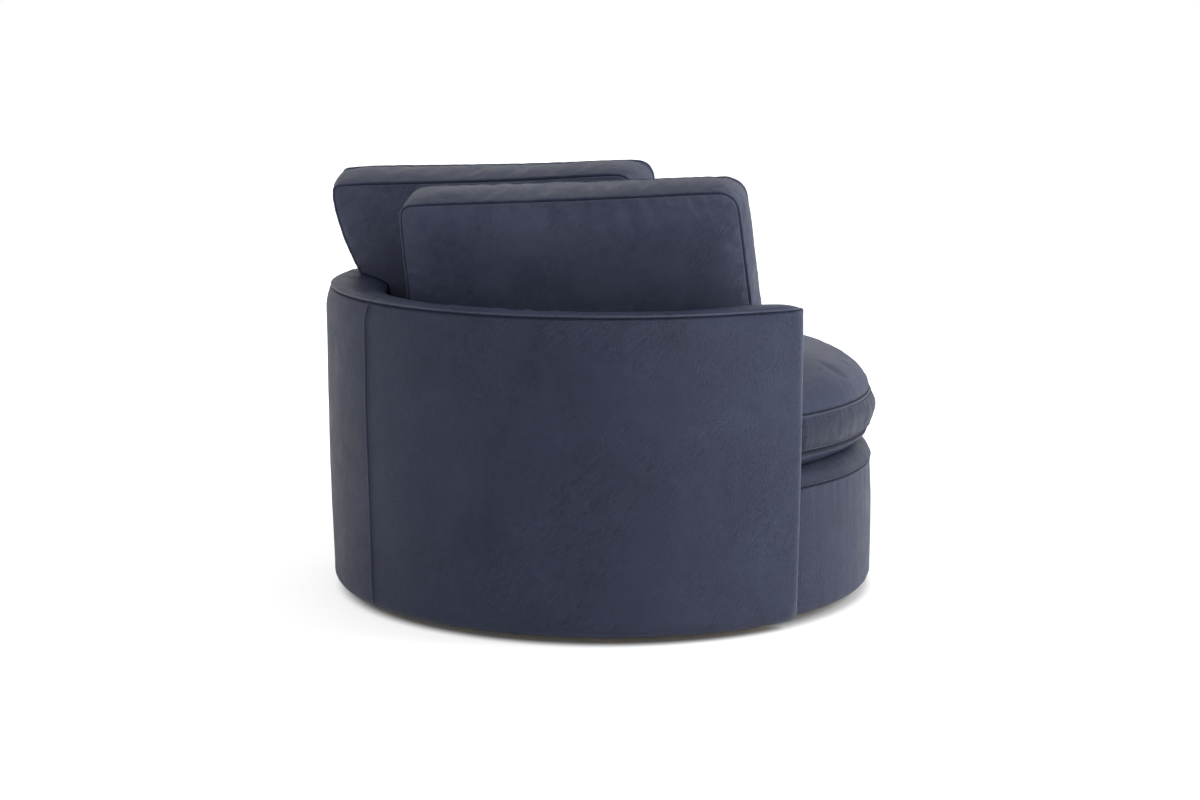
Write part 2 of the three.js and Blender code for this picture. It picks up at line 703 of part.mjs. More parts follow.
// Foam and leather of the shell
function makeShellUpholstery() {
  const backs = shellStations(frameStart);
  const outside = outerPanelRadius + fitGap;
  const face = offsetPath(shellOuterPath(), skin).slice(4, -2);
  face[face.length - 1].y = shellFrameTop;
  const wadding = [at(outside, face[0].y), ...face, at(outside, shellFrameTop)];
  addPiece('shell_wadding', sweepAround(backs, () => wadding), foam);
  const foamFace = shellInnerRadius + skin;
  const padding = rectangle(foamFace, innerPanelRadius - fitGap, innerCoverBottom, shellFrameTop);
  addPiece('inner_foam', sweepAround(backs, () => padding), foam);
  addPiece('rim_foam', sweepAround(backs, (azimuth) => {
    const side = offsetPath(shellOuterPath().slice(-3), skin).slice(0, 2);
    side[0].y = shellFrameTop + fitGap;
    return [at(foamFace, side[0].y), ...side, ...rimWithin(azimuth, skin)];
  }), foam);

  const halfSeam = arcAngle(seamGap / 2);
  const rear = shellStations(coverStart).filter((azimuth) => azimuth < Math.PI - halfSeam);
  rear.push(Math.PI - halfSeam);
  const outerSheet = sheetSection(shellOuterPath());
  addPiece('outer_cover_left', sweepAround(rear, () => outerSheet), leather);
  const mirrored = rear.map((azimuth) => Math.PI * 2 - azimuth).reverse();
  addPiece('outer_cover_right', sweepAround(mirrored, () => outerSheet), leather);
  const rimSheet = (azimuth) => (
    [...rimPath(azimuth), ...rimWithin(azimuth, leatherThickness).reverse()]
  );
  addPiece('rim_cover', sweepAround(shellStations(coverStart), rimSheet), leather);
  const innerSheet = sheetSection([
    at(shellInnerRadius, rimInnerSeamHeight - seamGap),
    at(shellInnerRadius, innerCoverBottom),
  ]);
  addPiece('inner_cover', sweepAround(shellStations(coverStart), () => innerSheet), leather);

  const padSection = wallOutline(coverStart, skin);
  const frontSection = wallOutline(armFront, 0);
  const padSpan = [coverStart, frameStart - arcAngle(fitGap)];
  const coverSpan = [armFront, armFront + arcAngle(leatherThickness)];
  const mirror = (span) => span.map((azimuth) => -azimuth).reverse();
  addPiece('arm_pad_left', sweepAround(padSpan, () => padSection), foam);
  addPiece('arm_pad_right', sweepAround(mirror(padSpan), () => padSection), foam);
  addPiece('arm_front_cover_left', sweepAround(coverSpan, () => frontSection), leather);
  addPiece('arm_front_cover_right', sweepAround(mirror(coverSpan), () => frontSection), leather);
}

// Share of the crown at a share of the radius, full in the middle and nil at the seam
function domeShare(radiusShare) {
  return Math.max(1 - radiusShare ** domeFlatness, 0) ** domeRoundShare;
}

function seatCrownAt(y) {
  const share = THREE.MathUtils.smoothstep(y, seatCrownEaseStart, seatCrownEaseEnd);
  return seatCrown * THREE.MathUtils.lerp(1, seatCrownRearShare, share);
}

function seatSeamRadiusAt(azimuth) {
  return inFront(azimuth) ? seatSeamRadius : shellInnerRadius - seatSideClearance - seatBoxingBulge;
}

// Section of the seat cushion, from the axis below to the axis above
function seatSection(azimuth, inset) {
  const seam = seatSeamRadiusAt(azimuth);
  const bottom = deckTop + fitGap;
  const underside = seatLowerSeamHeight - bottom;
  const boxingMiddle = (seatLowerSeamHeight + seatUpperSeamHeight) / 2;
  const undersideShares = [[1, 0], [0.35, 0.15], [0.07, 0.5]]; // of the inset and of the rise
  const domeShares = [0.98, 0.93, 0.85, 0.7, 0.4, 0];
  const path = [
    at(0, bottom),
    ...undersideShares.map(([inward, rise]) => (
      at(seam - seatUndersideInset * inward, bottom + underside * rise)
    )),
    at(seam, seatLowerSeamHeight),
    at(seam + seatBoxingBulge, boxingMiddle),
    at(seam, seatUpperSeamHeight),
    ...domeShares.map((share) => {
      const place = polar(seam * share, azimuth, 0);
      return at(seam * share, seatUpperSeamHeight + seatCrownAt(place.y) * domeShare(share));
    }),
  ];
  const drawnIn = offsetPath(path, inset);
  drawnIn[drawnIn.length - 1] = at(0, path[path.length - 1].y - inset);
  return drawnIn;
}

function makeSeatCushion() {
  const step = arcAngle(fitGap);
  const form = (inset) => (
    sweepAround(deckAzimuths(step, inset), (azimuth) => seatSection(azimuth, inset))
  );
  const slit = new THREE.BoxGeometry(seatSeamRadius, zipCutDepth, zipSlit);
  slit.translate(0, seatSeamRadiusAt(Math.PI), (seatLowerSeamHeight + seatUpperSeamHeight) / 2);
  addPiece('seat_cushion_core', form(skin), foam);
  return addPiece('seat_cushion_cover', cutAway(form(0), [form(leatherThickness), slit]), leather);
}

// Box cushion about its own middle: crowned faces, bulging boxing and drawn-in corners;
// a squeeze draws its +X end in, more and more from the top edge down
function boxCushion(inset, squeeze, columns = 12, rows = 7) {
  const half = new THREE.Vector3(backCushionWidth, backCushionThickness, backCushionHeight)
    .divideScalar(2)
    .subScalar(inset);
  const geometry = new THREE.BoxGeometry(half.x * 2, half.y * 2, half.z * 2, columns, 2, rows);
  const place = geometry.attributes.position;
  for (let i = 0; i < place.count; i += 1) {
    const u = place.getX(i) / half.x;
    const w = place.getY(i) / half.y;
    const v = place.getZ(i) / half.z;
    const within = [u, v].map((share) => Math.max(1 - share ** boxCrownFlatness, 0));
    const crown = backCushionCrown * w * (within[0] * within[1]) ** domeRoundShare;
    const boxing = backCushionBulge * (1 - w * w);
    const drawIn = backCushionDrawIn * u * u * v * v;
    const sideways = (Math.round(Math.abs(u) * columns) === columns ? Math.sign(u) * boxing : 0) - u * drawIn;
    const upwards = (Math.round(Math.abs(v) * rows) === rows ? Math.sign(v) * boxing : 0) - v * drawIn;
    const depthShare = Math.min(((1 - v) * half.z) / squeezeDepth, 1);
    const squeezed = squeeze * depthShare ** squeezePower * Math.max(u, 0) ** 2;
    place.setXYZ(i, u * half.x + sideways - squeezed, w * half.y + crown, v * half.z + upwards);
  }
  return closeSurface(geometry);
}

// Solid of the whole wall, grown by a gap, to cut the cushions that lean on it
function wallTool(gap) {
  const stations = shellStations(armFront);
  const ends = [stations[0] - arcAngle(gap), stations[stations.length - 1] + arcAngle(gap)];
  return sweepAround([ends[0], ...stations, ends[1]], (azimuth) => (
    wallOutline(azimuth, -gap)
  ));
}

// Least height between the facing sides of two meshes, looking straight up and down
function clearHeight(upper, lower) {
  const rayFrom = (source, target, direction) => {
    const caster = new THREE.Raycaster();
    const place = source.geometry.attributes.position;
    const start = new THREE.Vector3();
    const found = [Infinity];
    for (let i = 0; i < place.count; i += 1) {
      start.fromBufferAttribute(place, i).applyMatrix4(source.matrixWorld);
      caster.set(start, new THREE.Vector3(0, 0, direction));
      const hits = caster.intersectObject(target, false);
      if (hits.length > 0) found.push(hits[0].distance);
    }
    return Math.min(...found);
  };
  return Math.min(rayFrom(upper, lower, -1), rayFrom(lower, upper, 1));
}

// Each cushion stands turned about the chair's axis, by shares of the shell's inner radius
function makeBackCushion(side, seat, { turn, setbackShare, sidewaysShare, lift, squeeze }) {
  const group = new THREE.Group();
  group.rotation.set(-backCushionLean, backCushionRoll, turn, 'ZXY');
  group.position.set(sidewaysShare * shellInnerRadius, setbackShare * shellInnerRadius, 0);
  group.position.applyAxisAngle(new THREE.Vector3(0, 0, 1), turn);
  group.position.z = seatUpperSeamHeight + seatCrown + backCushionHeight;
  const block = new THREE.Mesh(boxCushion(0, squeeze), new THREE.MeshStandardMaterial());
  group.add(block);
  group.updateMatrixWorld(true);
  group.position.z += fitGap + lift - clearHeight(block, seat);
  group.remove(block);
  group.updateMatrix();
  chair.add(group);

  const toCushion = group.matrix.clone().invert();
  const form = (inset) => cutAway(
    boxCushion(inset, squeeze),
    [wallTool(backCushionWallGap + inset).applyMatrix4(toCushion)],
  );
  const slit = new THREE.BoxGeometry(backCushionWidth * zipLengthShare, zipSlit, zipCutDepth);
  slit.translate(0, 0, -backCushionHeight / 2);
  const cover = cutAway(form(0), [form(leatherThickness), slit]);
  addPiece(`back_cushion_cover_${side}`, cover, leather, group);
  addPiece(`back_cushion_core_${side}`, form(skin), foam, group);
}

makePlinth();
makeBearing();
makeBaseFrame();
const webbingTop = makeWebbing();
makeDeck(webbingTop);
makeBaseUpholstery();
makeShellFrame();
makeShellUpholstery();
const seat = makeSeatCushion();
makeBackCushion('right', seat, rightCushionPlace);
makeBackCushion('left', seat, leftCushionPlace);

export default chair;
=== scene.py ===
import json
import math

import bpy
import numpy as np
from mathutils import Matrix, Vector
from mathutils.kdtree import KDTree


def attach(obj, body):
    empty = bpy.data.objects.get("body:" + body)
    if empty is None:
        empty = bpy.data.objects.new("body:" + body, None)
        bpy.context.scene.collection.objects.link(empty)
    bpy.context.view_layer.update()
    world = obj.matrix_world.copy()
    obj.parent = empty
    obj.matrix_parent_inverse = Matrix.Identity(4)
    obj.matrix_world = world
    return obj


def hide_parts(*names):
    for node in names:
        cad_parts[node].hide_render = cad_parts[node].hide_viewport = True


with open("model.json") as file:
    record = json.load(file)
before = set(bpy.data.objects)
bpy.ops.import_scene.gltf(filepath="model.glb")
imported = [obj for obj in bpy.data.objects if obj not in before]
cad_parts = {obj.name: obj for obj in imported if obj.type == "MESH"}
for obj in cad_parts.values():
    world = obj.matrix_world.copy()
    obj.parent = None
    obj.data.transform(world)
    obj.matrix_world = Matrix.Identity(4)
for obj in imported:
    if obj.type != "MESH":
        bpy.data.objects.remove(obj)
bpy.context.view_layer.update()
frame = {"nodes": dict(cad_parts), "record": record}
scene = bpy.context.scene
mm = 0.001
print("frame loaded")

# Camera
view = {"place": (-4251.6, 3100.4, 1281.0), "pitch": 9.66, "yaw": -0.174, "lens": 75.24}


def makeCamera(v):
    data = bpy.data.cameras.new("camera")
    data.lens = v["lens"]
    data.sensor_width = 36.0
    data.clip_end = 60.0
    camera = bpy.data.objects.new("camera", data)
    place = Vector(v["place"]) * mm
    ahead = Vector((-place.x, -place.y, 0)).normalized()
    ahead.rotate(Matrix.Rotation(math.radians(-v["yaw"]), 3, "Z"))
    pitch = math.radians(v["pitch"])
    look = ahead * math.cos(pitch) - Vector((0, 0, math.sin(pitch)))
    camera.location = place
    camera.rotation_euler = look.to_track_quat("-Z", "Y").to_euler()
    scene.collection.objects.link(camera)
    scene.camera = camera


makeCamera(view)


# Numbers
def smooth(edge0, edge1, x):
    t = np.clip((x - edge0) / (edge1 - edge0), 0, 1)
    return t * t * (3 - 2 * t)


def noise(points, size, seed):  # smooth noise from -1 to 1, with one feature per size
    p = np.asarray(points, float) / size + seed * 7.31
    cell = np.floor(p).astype(np.int64)
    f = p - cell
    f = f * f * f * (f * (f * 6 - 15) + 10)
    total = np.zeros(p.shape[:-1])
    for corner in range(8):
        step = np.array([corner & 1, corner >> 1 & 1, corner >> 2 & 1])
        h = cell + step
        n = (h[..., 0] * 73856093) ^ (h[..., 1] * 19349663) ^ (h[..., 2] * 83492791) ^ (seed * 2654435)
        n = n & 0xFFFFFF
        n = (n * (n * n % 1000003 * 15731 + 789221) + 1376312589) & 0x7FFFFFFF
        total += np.prod(np.where(step, f, 1 - f), axis=-1) * (1 - n / 1073741824.0)
    return total


def cloudy(points, size, seed, octaves=3):
    return sum(noise(points, size / 2 ** k, seed + k) / 2 ** k for k in range(octaves))


def ridged(points, size, seed):  # narrow soft folds, nil between them
    return np.maximum(1 - 2.6 * np.abs(noise(points, size, seed)), 0) ** 2


def fading(distance, reach):
    return np.exp(-distance / reach)


def hill(x, place, width):
    return np.exp(-((x - place) / width) ** 2)


def laidFlat(across, along):  # places for noise on a surface that is laid out flat
    across, along = np.broadcast_arrays(across, along)
    return np.stack([across, along, np.zeros(across.shape)], axis=-1)


def unit(vectors):
    return vectors / np.maximum(np.linalg.norm(vectors, axis=-1), 1e-9)[..., None]


def alongPath(path):  # how far from its start each point of a path is
    return np.concatenate([[0], np.cumsum(np.linalg.norm(np.diff(path, axis=0), axis=1))])


def spaced(path, places):  # points of a path at distances from its start
    along = alongPath(path)
    return np.stack([np.interp(places, along, path[:, k]) for k in range(path.shape[1])], axis=1)


def lengthOf(path):
    return np.linalg.norm(np.diff(path, axis=0), axis=1).sum()


def graded(length, spacing, close, count=None):  # places along a length, dense at both ends
    close = np.array(close)
    count = count or max(int(round((length - 2 * close[-1]) / spacing)), 1)
    middle = np.linspace(close[-1], length - close[-1], count + 1)
    return np.concatenate([[0], close[:-1], middle, length - close[-2::-1], [length]])


def leftOf(path):  # unit normals to the left of a flat path
    along = unit(np.gradient(path, axis=0))
    return np.stack([-along[:, 1], along[:, 0]], axis=1)


def evenLeftOf(path, width=9):  # the same, smoothed along the path
    normals = np.pad(leftOf(path), ((width // 2, width // 2), (0, 0)), mode="edge")
    return unit(np.stack([np.convolve(part, np.ones(width) / width, "valid") for part in normals.T], axis=1))


def arc(centre, radius, fromTurn, toTurn, steps):
    turn = np.radians(np.linspace(fromTurn, toTurn, steps + 1))
    return np.stack([centre[0] + radius * np.cos(turn), centre[1] + radius * np.sin(turn)], axis=1)


def polar(radius, azimuth, height):  # azimuth from the front, growing towards +X
    return np.stack([radius * np.sin(azimuth), -radius * np.cos(azimuth), height], axis=-1)


seamShape = {"lip": 3.4, "lipAt": 4.6, "lipWidth": 2.5, "groove": 3.2, "grooveWidth": 1.8}


def seamRelief(distance, lip, groove=0.5, s=seamShape):  # groove at the seam, with a folded lip beside it
    raised = lip * s["lip"] * hill(distance, s["lipAt"], s["lipWidth"])
    return raised - groove * s["groove"] * hill(distance, 0, s["grooveWidth"])


# Meshes
def gridFaces(rows, columns, closed=False):
    i, j = np.meshgrid(np.arange(rows - 1), np.arange(columns if closed else columns - 1), indexing="ij")
    beside = (j + 1) % columns
    quads = [i * columns + j, i * columns + beside, (i + 1) * columns + beside, (i + 1) * columns + j]
    return np.stack(quads, axis=-1).reshape(-1, 4)


def loopOf(rows, columns):  # indices round the edge of a grid, anticlockwise
    index = np.arange(rows * columns).reshape(rows, columns)
    return np.concatenate([index[0, :-1], index[:-1, -1], index[-1, :0:-1], index[:0:-1, 0]])


def meshObject(name, points, *faceSets):
    mesh = bpy.data.meshes.new(name)
    points = np.asarray(points, float).reshape(-1, 3) * mm
    sizes = np.concatenate([np.full(len(faces), faces.shape[1]) for faces in faceSets])
    corners = np.concatenate([faces.ravel() for faces in faceSets])
    mesh.vertices.add(len(points))
    mesh.vertices.foreach_set("co", points.ravel())
    mesh.loops.add(len(corners))
    mesh.loops.foreach_set("vertex_index", corners)
    mesh.polygons.add(len(sizes))
    mesh.polygons.foreach_set("loop_start", np.concatenate([[0], np.cumsum(sizes)[:-1]]))
    mesh.polygons.foreach_set("use_smooth", np.ones(len(sizes), bool))
    mesh.update(calc_edges=True)
    mesh.validate()
    piece = bpy.data.objects.new(name, mesh)
    scene.collection.objects.link(piece)
    return piece


def sheetObject(name, points, thickness=2.0, mirrored=False):  # a grid of points with a thickness behind it
    points = np.asarray(points, float)
    rows, columns = points.shape[:2]
    normal = unit(np.cross(np.gradient(points, axis=0), np.gradient(points, axis=1)))
    if mirrored:
        normal = -normal
    count = rows * columns
    rim = loopOf(rows, columns)
    after = np.roll(rim, -1)
    faces = gridFaces(rows, columns)
    side = np.stack([rim, after, after + count, rim + count], axis=1)
    faces = np.concatenate([faces[:, ::-1], faces + count, side])
    if mirrored:
        faces = faces[:, ::-1]
    behind = points - normal * thickness
    return meshObject(name, np.concatenate([points.reshape(-1, 3), behind.reshape(-1, 3)]), faces)


def setPoints(piece, points):
    piece.data.vertices.foreach_set("co", (np.asarray(points, float) * mm).ravel())
    piece.data.update()


def normalsOf(piece):
    values = np.empty(len(piece.data.vertices) * 3)
    piece.data.vertex_normals.foreach_get("vector", values)
    return values.reshape(-1, 3)


stitch = {
    "length": 3.8, "pitch": 6.6, "radius": 1.2, "sides": 5,
    "widths": (0.25, 1.0, 1.0, 0.25), "lifts": (-0.6, 0.3, 0.3, -0.6),  # shares of the radius, along the stitch
}


def stitchRow(name, path, outward, s=stitch):  # short threads that dip into the leather at both ends
    along = alongPath(path)
    starts = np.arange(s["pitch"] / 2, along[-1] - s["length"], s["pitch"])
    profile = np.array(s["widths"])
    lift = np.array(s["lifts"]) * s["radius"]
    places = starts[:, None] + np.linspace(0, s["length"], len(profile))[None]

    def sample(values):
        return np.stack([np.interp(places, along, values[:, k]) for k in range(3)], axis=-1)

    centre, up = sample(path), unit(sample(outward))
    centre += up * lift[None, :, None]
    forward = unit(np.gradient(centre, axis=1))
    side = np.cross(forward, up)[:, :, None]
    turn = np.linspace(0, 2 * math.pi, s["sides"], endpoint=False)[None, None, :, None]
    ring = side * np.cos(turn) + up[:, :, None] * np.sin(turn)
    points = centre[:, :, None] + ring * (profile * s["radius"])[None, :, None, None]
    single = gridFaces(len(profile), s["sides"], closed=True)
    size = len(profile) * s["sides"]
    faces = (single[None] + (np.arange(len(starts)) * size)[:, None, None]).reshape(-1, 4)
    return dress(meshObject(name, points, faces), material=thread, slot=None)


# Shader wiring
class Wire:  # one socket, with the operators that add Math nodes
    def __init__(self, recipe, socket):
        self.recipe = recipe
        self.socket = socket

    def sum(self, kind, *others):
        return self.recipe.add("Math", dict(enumerate((self, *others))), operation=kind)

    def __add__(self, other):
        return self.sum("ADD", other)

    def __sub__(self, other):
        return self.sum("SUBTRACT", other)

    def __rsub__(self, other):
        return self.recipe.add("Math", {0: other, 1: self}, operation="SUBTRACT")

    def __mul__(self, other):
        return self.sum("MULTIPLY", other)

    __radd__ = __add__
    __rmul__ = __mul__


class Recipe:  # the nodes of one material, or of the world
    def __init__(self, owner):
        self.owner = bpy.data.materials.new(owner) if isinstance(owner, str) else owner
        self.owner.use_nodes = True
        self.tree = self.owner.node_tree
        self.tree.nodes.clear()

    def add(self, kind, sockets=(), output=0, **settings):
        node = self.tree.nodes.new("ShaderNode" + kind)
        for key, value in settings.items():
            setattr(node, key, value)
        for key, value in dict(sockets).items():
            socket = node.inputs[key]
            if isinstance(value, Wire):
                self.tree.links.new(value.socket, socket)
            else:
                socket.default_value = value
        return Wire(self, node.outputs[output]) if node.outputs else node

    def mix(self, share, first, second):
        colour = [(*c, 1) if isinstance(c, tuple) and len(c) == 3 else c for c in (first, second)]
        return self.add("Mix", {0: share, 6: colour[0], 7: colour[1]}, 2, data_type="RGBA")

    def spot(self, stretch=(1, 1, 1), turn=(0, 0, 0)):  # stretched along the turned axes
        sockets = {"Vector": self.add("TexCoord", output=3), "Scale": stretch, "Rotation": turn}
        return self.add("Mapping", sockets, vector_type="TEXTURE")

    def noise(self, scale, detail=2.0, roughness=0.5, distortion=0.0, spot=None):
        sockets = {"Vector": spot or self.spot(), "Scale": scale, "Detail": detail,
                   "Roughness": roughness, "Distortion": distortion}
        return self.add("TexNoise", sockets)

    def cells(self, scale, **settings):
        return self.add("TexVoronoi", {"Vector": self.spot(), "Scale": scale}, **settings)

    def bands(self, axis, scale, distortion):
        sockets = {"Vector": self.spot(), "Scale": scale, "Distortion": distortion}
        return self.add("TexWave", sockets, bands_direction=axis)

    def window(self, value, low, high):
        return self.add("MapRange", {"Value": value, 1: low, 2: high}, interpolation_type="SMOOTHSTEP")

    def line(self, value, width):  # where a noise passes its middle
        return 1.0 - self.window((value - 0.5).sum("ABSOLUTE"), 0.0, width)

    def share(self, name):  # a value that the piece's own points carry
        return self.add("Attribute", output=2, attribute_name=name)

    def bump(self, height, strength, distance):
        return self.add("Bump", {"Strength": strength, "Distance": distance, "Height": height})

    def finish(self, colour, rough, relief, others=()):
        sockets = {"Base Color": colour, "Roughness": rough, "Normal": relief, **dict(others)}
        self.add("OutputMaterial", {"Surface": self.add("BsdfPrincipled", sockets)})
        return self.owner


# Finishes
hide = {
    "deep": (0.018, 0.024, 0.055),
    "main": (0.030, 0.039, 0.085),
    "pale": (0.048, 0.059, 0.117),
    # the next colour is real wear, and also painted highlight on seam lips, crease lines and pucker ridges
    "wornAndHighlight": (0.110, 0.124, 0.200),
    # the next colour is painted shade, near black, put in the grooves of seams
    "seamShade": (0.006, 0.008, 0.018),
    "clouds": 0.5, "patches": 0.32, "blots": 0.18, "fade": 0.45,  # shares of the tone; the last share is painted light and shade, lighter cushion faces and darker boxing
    "toMain": (0.32, 0.53), "toPale": (0.5, 0.7), "toWorn": (0.68, 1.0), "paleMost": 0.8, "wornMost": 0.6,
    # the next two widths set painted highlight lines and painted shade lines along the creases
    "creaseHighlight": 0.045, "shadedFold": 0.04, "creased": (0.32, 0.72), "wearAndGlint": (0.25, 0.95),
    "grain": 620.0, "hairTurn": (0.0, 0.74, -2.2), "roughness": 0.42, "specular": 0.33, "relief": (0.8, 0.006),
}


def leatherRecipe(h):
    r = Recipe("navy_leather")
    clouds = r.noise(6.0, 4.0, 0.55, 0.8)
    patches = r.noise(21.0, 4.0, 0.6, 1.0)
    blots = r.noise(48.0, 3.0, 0.6, 0.6)
    # painted light and shade carried by each piece: lighter cushion faces, darker seat boxing and deck
    fade = r.share("fade")
    tone = clouds * h["clouds"] + patches * h["patches"] + blots * h["blots"] + fade * h["fade"]
    body = r.mix(r.window(tone, *h["toMain"]), h["deep"], h["main"])
    body = r.mix(r.window(tone, *h["toPale"]) * h["paleMost"], body, h["pale"])
    body = r.mix(r.window(tone, *h["toWorn"]) * h["wornMost"], body, h["wornAndHighlight"])
    hairs = r.noise(240.0, 3.0, 0.6, 0.9, r.spot((1.0, 1.0, 6.5), h["hairTurn"]))
    veins = r.noise(85.0, 4.0, 0.6, 1.6, r.spot((1.0, 1.0, 3.4), h["hairTurn"]))
    creaseHighlight = r.line(hairs, h["creaseHighlight"])
    shadedFold = r.line(veins, h["shadedFold"])
    creased = r.window(r.noise(9.0, 2.0, 0.5, 0.4), *h["creased"])
    # the wear share: real wear at edges, with painted highlights along seam lips and pucker ridges
    wear = r.share("wear")
    wearAndSheenMix = r.window(wear + (patches - 0.5) * 0.5 + (hairs - 0.5) * 0.6, *h["wearAndGlint"])
    colour = r.mix(wearAndSheenMix * 0.85, body, h["wornAndHighlight"])
    # painted light on the creases: pale streaks and light lines stand in for the highlights of their bumps, and
    # the folds get painted shade
    hairSheen = r.window(hairs, 0.38, 0.62) * (creased * 0.7 + 0.3)
    colour = r.mix(hairSheen * 0.42, colour, h["pale"])
    colour = r.mix(shadedFold * creased * 0.12, colour, h["deep"])
    colour = r.mix(creaseHighlight * creased * 0.28, colour, h["wornAndHighlight"])
    # painted shade: the grooves of seams are mixed towards near black
    seam = r.share("seam")
    colour = r.mix(seam, colour, h["seamShade"])
    pores = r.window(r.cells(h["grain"], feature="DISTANCE_TO_EDGE"), 0.0, 0.3)
    fine = r.noise(330.0, 3.0, 0.6)
    height = pores * 0.12 + fine * 0.22 + hairs * (creased * 0.6 + 0.35) - shadedFold * creased * 0.15
    rough = h["roughness"] + (patches - 0.5) * 0.3 + (hairs - 0.5) * 0.2 - wearAndSheenMix * 0.1 + seam * 0.5
    return r.finish(colour, rough, r.bump(height, *h["relief"]), {"Specular IOR Level": h["specular"]})


sewing = {"dark": (0.008, 0.009, 0.016), "pale": (0.022, 0.025, 0.04), "twist": 900.0, "roughness": 0.7}


def threadRecipe(t):
    r = Recipe("navy_thread")
    twist = r.noise(t["twist"], 2.0)
    colour = r.mix(twist, t["dark"], t["pale"])
    return r.finish(colour, t["roughness"], r.bump(twist, 0.3, 0.0004))


board = {"dark": (0.42, 0.25, 0.11), "pale": (0.66, 0.46, 0.24), "ply": (0.3, 0.17, 0.075),
         "grain": 38.0, "plies": 55.0, "roughness": 0.62}


def plywoodRecipe(b):
    r = Recipe("bare_plywood")
    grain = r.noise(b["grain"], 6.0, 0.6, 0.8, r.spot((1.0, 0.17, 1.0)))
    plies = r.bands("Z", b["plies"], 0.4)
    colour = r.mix(grain, b["dark"], b["pale"])
    colour = r.mix(plies * 0.3, colour, b["ply"])
    return r.finish(colour, b["roughness"] + grain * 0.15, r.bump(grain, 0.2, 0.0008))


stuffing = {"dark": (0.66, 0.58, 0.38), "pale": (0.8, 0.74, 0.56), "cells": 620.0, "roughness": 0.95}


def foamRecipe(s):
    r = Recipe("open_cell_foam")
    cells = r.cells(s["cells"])
    colour = r.mix(r.noise(14.0, 3.0), s["dark"], s["pale"])
    return r.finish(colour, s["roughness"], r.bump(cells, 0.6, 0.0012))


plating = {"dark": (0.42, 0.43, 0.45), "pale": (0.62, 0.63, 0.66),
           "brushed": 420.0, "spangle": 90.0, "roughness": 0.3}


def steelRecipe(p):
    r = Recipe("zinc_plated_steel")
    brushed = r.noise(p["brushed"], 3.0, 0.6, 0.0, r.spot((1.0, 1.0, 0.07)))
    colour = r.mix(r.cells(p["spangle"]), p["dark"], p["pale"])
    rough = p["roughness"] + brushed * 0.16
    return r.finish(colour, rough, r.bump(brushed, 0.12, 0.0004), {"Metallic": 1.0})


dustCloth = {"name": "black_cloth", "dark": (0.008, 0.008, 0.01), "pale": (0.03, 0.03, 0.035), "threads": 260.0}
strap = {"name": "brown_webbing", "dark": (0.05, 0.035, 0.022), "pale": (0.16, 0.115, 0.075), "threads": 180.0}


def clothRecipe(c):
    r = Recipe(c["name"])
    weave = r.bands("X", c["threads"], 0.6).sum("MAXIMUM", r.bands("Y", c["threads"], 0.6))
    fluff = r.noise(300.0, 4.0, 0.7)
    colour = r.mix(weave * 0.6 + fluff * 0.4, c["dark"], c["pale"])
    return r.finish(colour, 0.9, r.bump(weave + fluff * 0.5, 0.5, 0.0008))


leather = leatherRecipe(hide)
thread = threadRecipe(sewing)
finishes = {
    "plywood": plywoodRecipe(board),
    "foam": foamRecipe(stuffing),
    "steel": steelRecipe(plating),
    "dark_cloth": clothRecipe(dustCloth),
    "webbing": clothRecipe(strap),
    "leather": leather,
}
slots = {row["node"]: row["material_slot"] for row in frame["record"]["subparts"]}
for node, solid in frame["nodes"].items():
    solid.data.materials.clear()
    solid.data.materials.append(finishes[slots[node]])
print("finishes made")


def dress(piece, *nodes, material=leather, slot="leather", fill=None):
    piece.data.materials.append(material)
    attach(piece, "chair")
    if nodes:
        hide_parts(*nodes)
    return piece


def setShares(piece, **shares):  # a sheet's front and back take the same values
    for name, values in shares.items():
        values = np.clip(np.asarray(values, np.float32).ravel(), -1, 1)
        layer = piece.data.attributes.new(name, "FLOAT", "POINT")
        layer.data.foreach_set("value", np.resize(values, len(piece.data.vertices)))


def seamShade(distance, width=1.6, depth=0.9):  # painted shade: how dark the groove of a seam is painted
    return depth * hill(distance, 0, width)


def wearAndGlint(distance, strength, reach):  # how worn the leather is near an edge
    return strength * fading(distance, reach)


# Wall of the shell
wall = {
    "radius": 591.0, "thickness": 123.0, "halfAngle": 94.4,
    "seam": 638.0, "innerSeam": 620.0, "innerBottom": 322.0,
    "crown": 16.0, "crownRound": 0.83, "endCrown": 0.85, "endLength": 42.0, "endRoll": 9.0,
    "full": 3.5, "fullAt": 80.0, "fullWidth": 60.0,  # the arm's stuffing stands a little prouder
    "shoulderDrop": 46.0, "shoulderInset": 10.5, "shoulderPower": 2.2,
    "shoulderLeast": 0.15, "shoulderEase": 160.0,  # it squares up towards each arm's end
    "hem": 15.0, "footRadius": 583.0, "footRoll": 22.0, "hemWidth": 16.0,
    "sideHeights": (37, 107, 181, 250, 353, 417), "sideInsets": (8.2, 6.2, 4.3, 2.8, 1, 0),
    "spacing": 6.0, "rimSteps": 17, "tuck": 2.1, "innerTuck": 1.2, "topstitch": 8.2,
    # the two seam entries at the end of the next line set painted shade in the grooves of the top and middle
    # seams
    "ripple": 0.8, "pucker": 0.9, "topShade": (1.3, 0.4), "middleShade": (1.3, 0.7),
    "endWear": (1.6, 11), "topWear": (0.45, 6), "footWear": (0.6, 22),
    "middleWear": (0.35, 6), "armWear": (0.8, 14),
    "nearMiddle": (16.0, 12.0, 8.5, 6.0, 4.3, 3.0, 1.9, 0.9, 0.15),
    "rimNearMiddle": (14.0, 8.0, 4.0, 2.2, 1.0, 0.0),
}
closeBy = np.array([0.3, 0.9, 1.9, 3.0, 4.3, 6.0, 8.5, 12.0])
rimCloseBy = (0.9, 1.9, 3.0, 4.3, 6.0, 7.2, 8.2, 9.2, 12.0)
innerRadius = wall["radius"] - wall["thickness"]
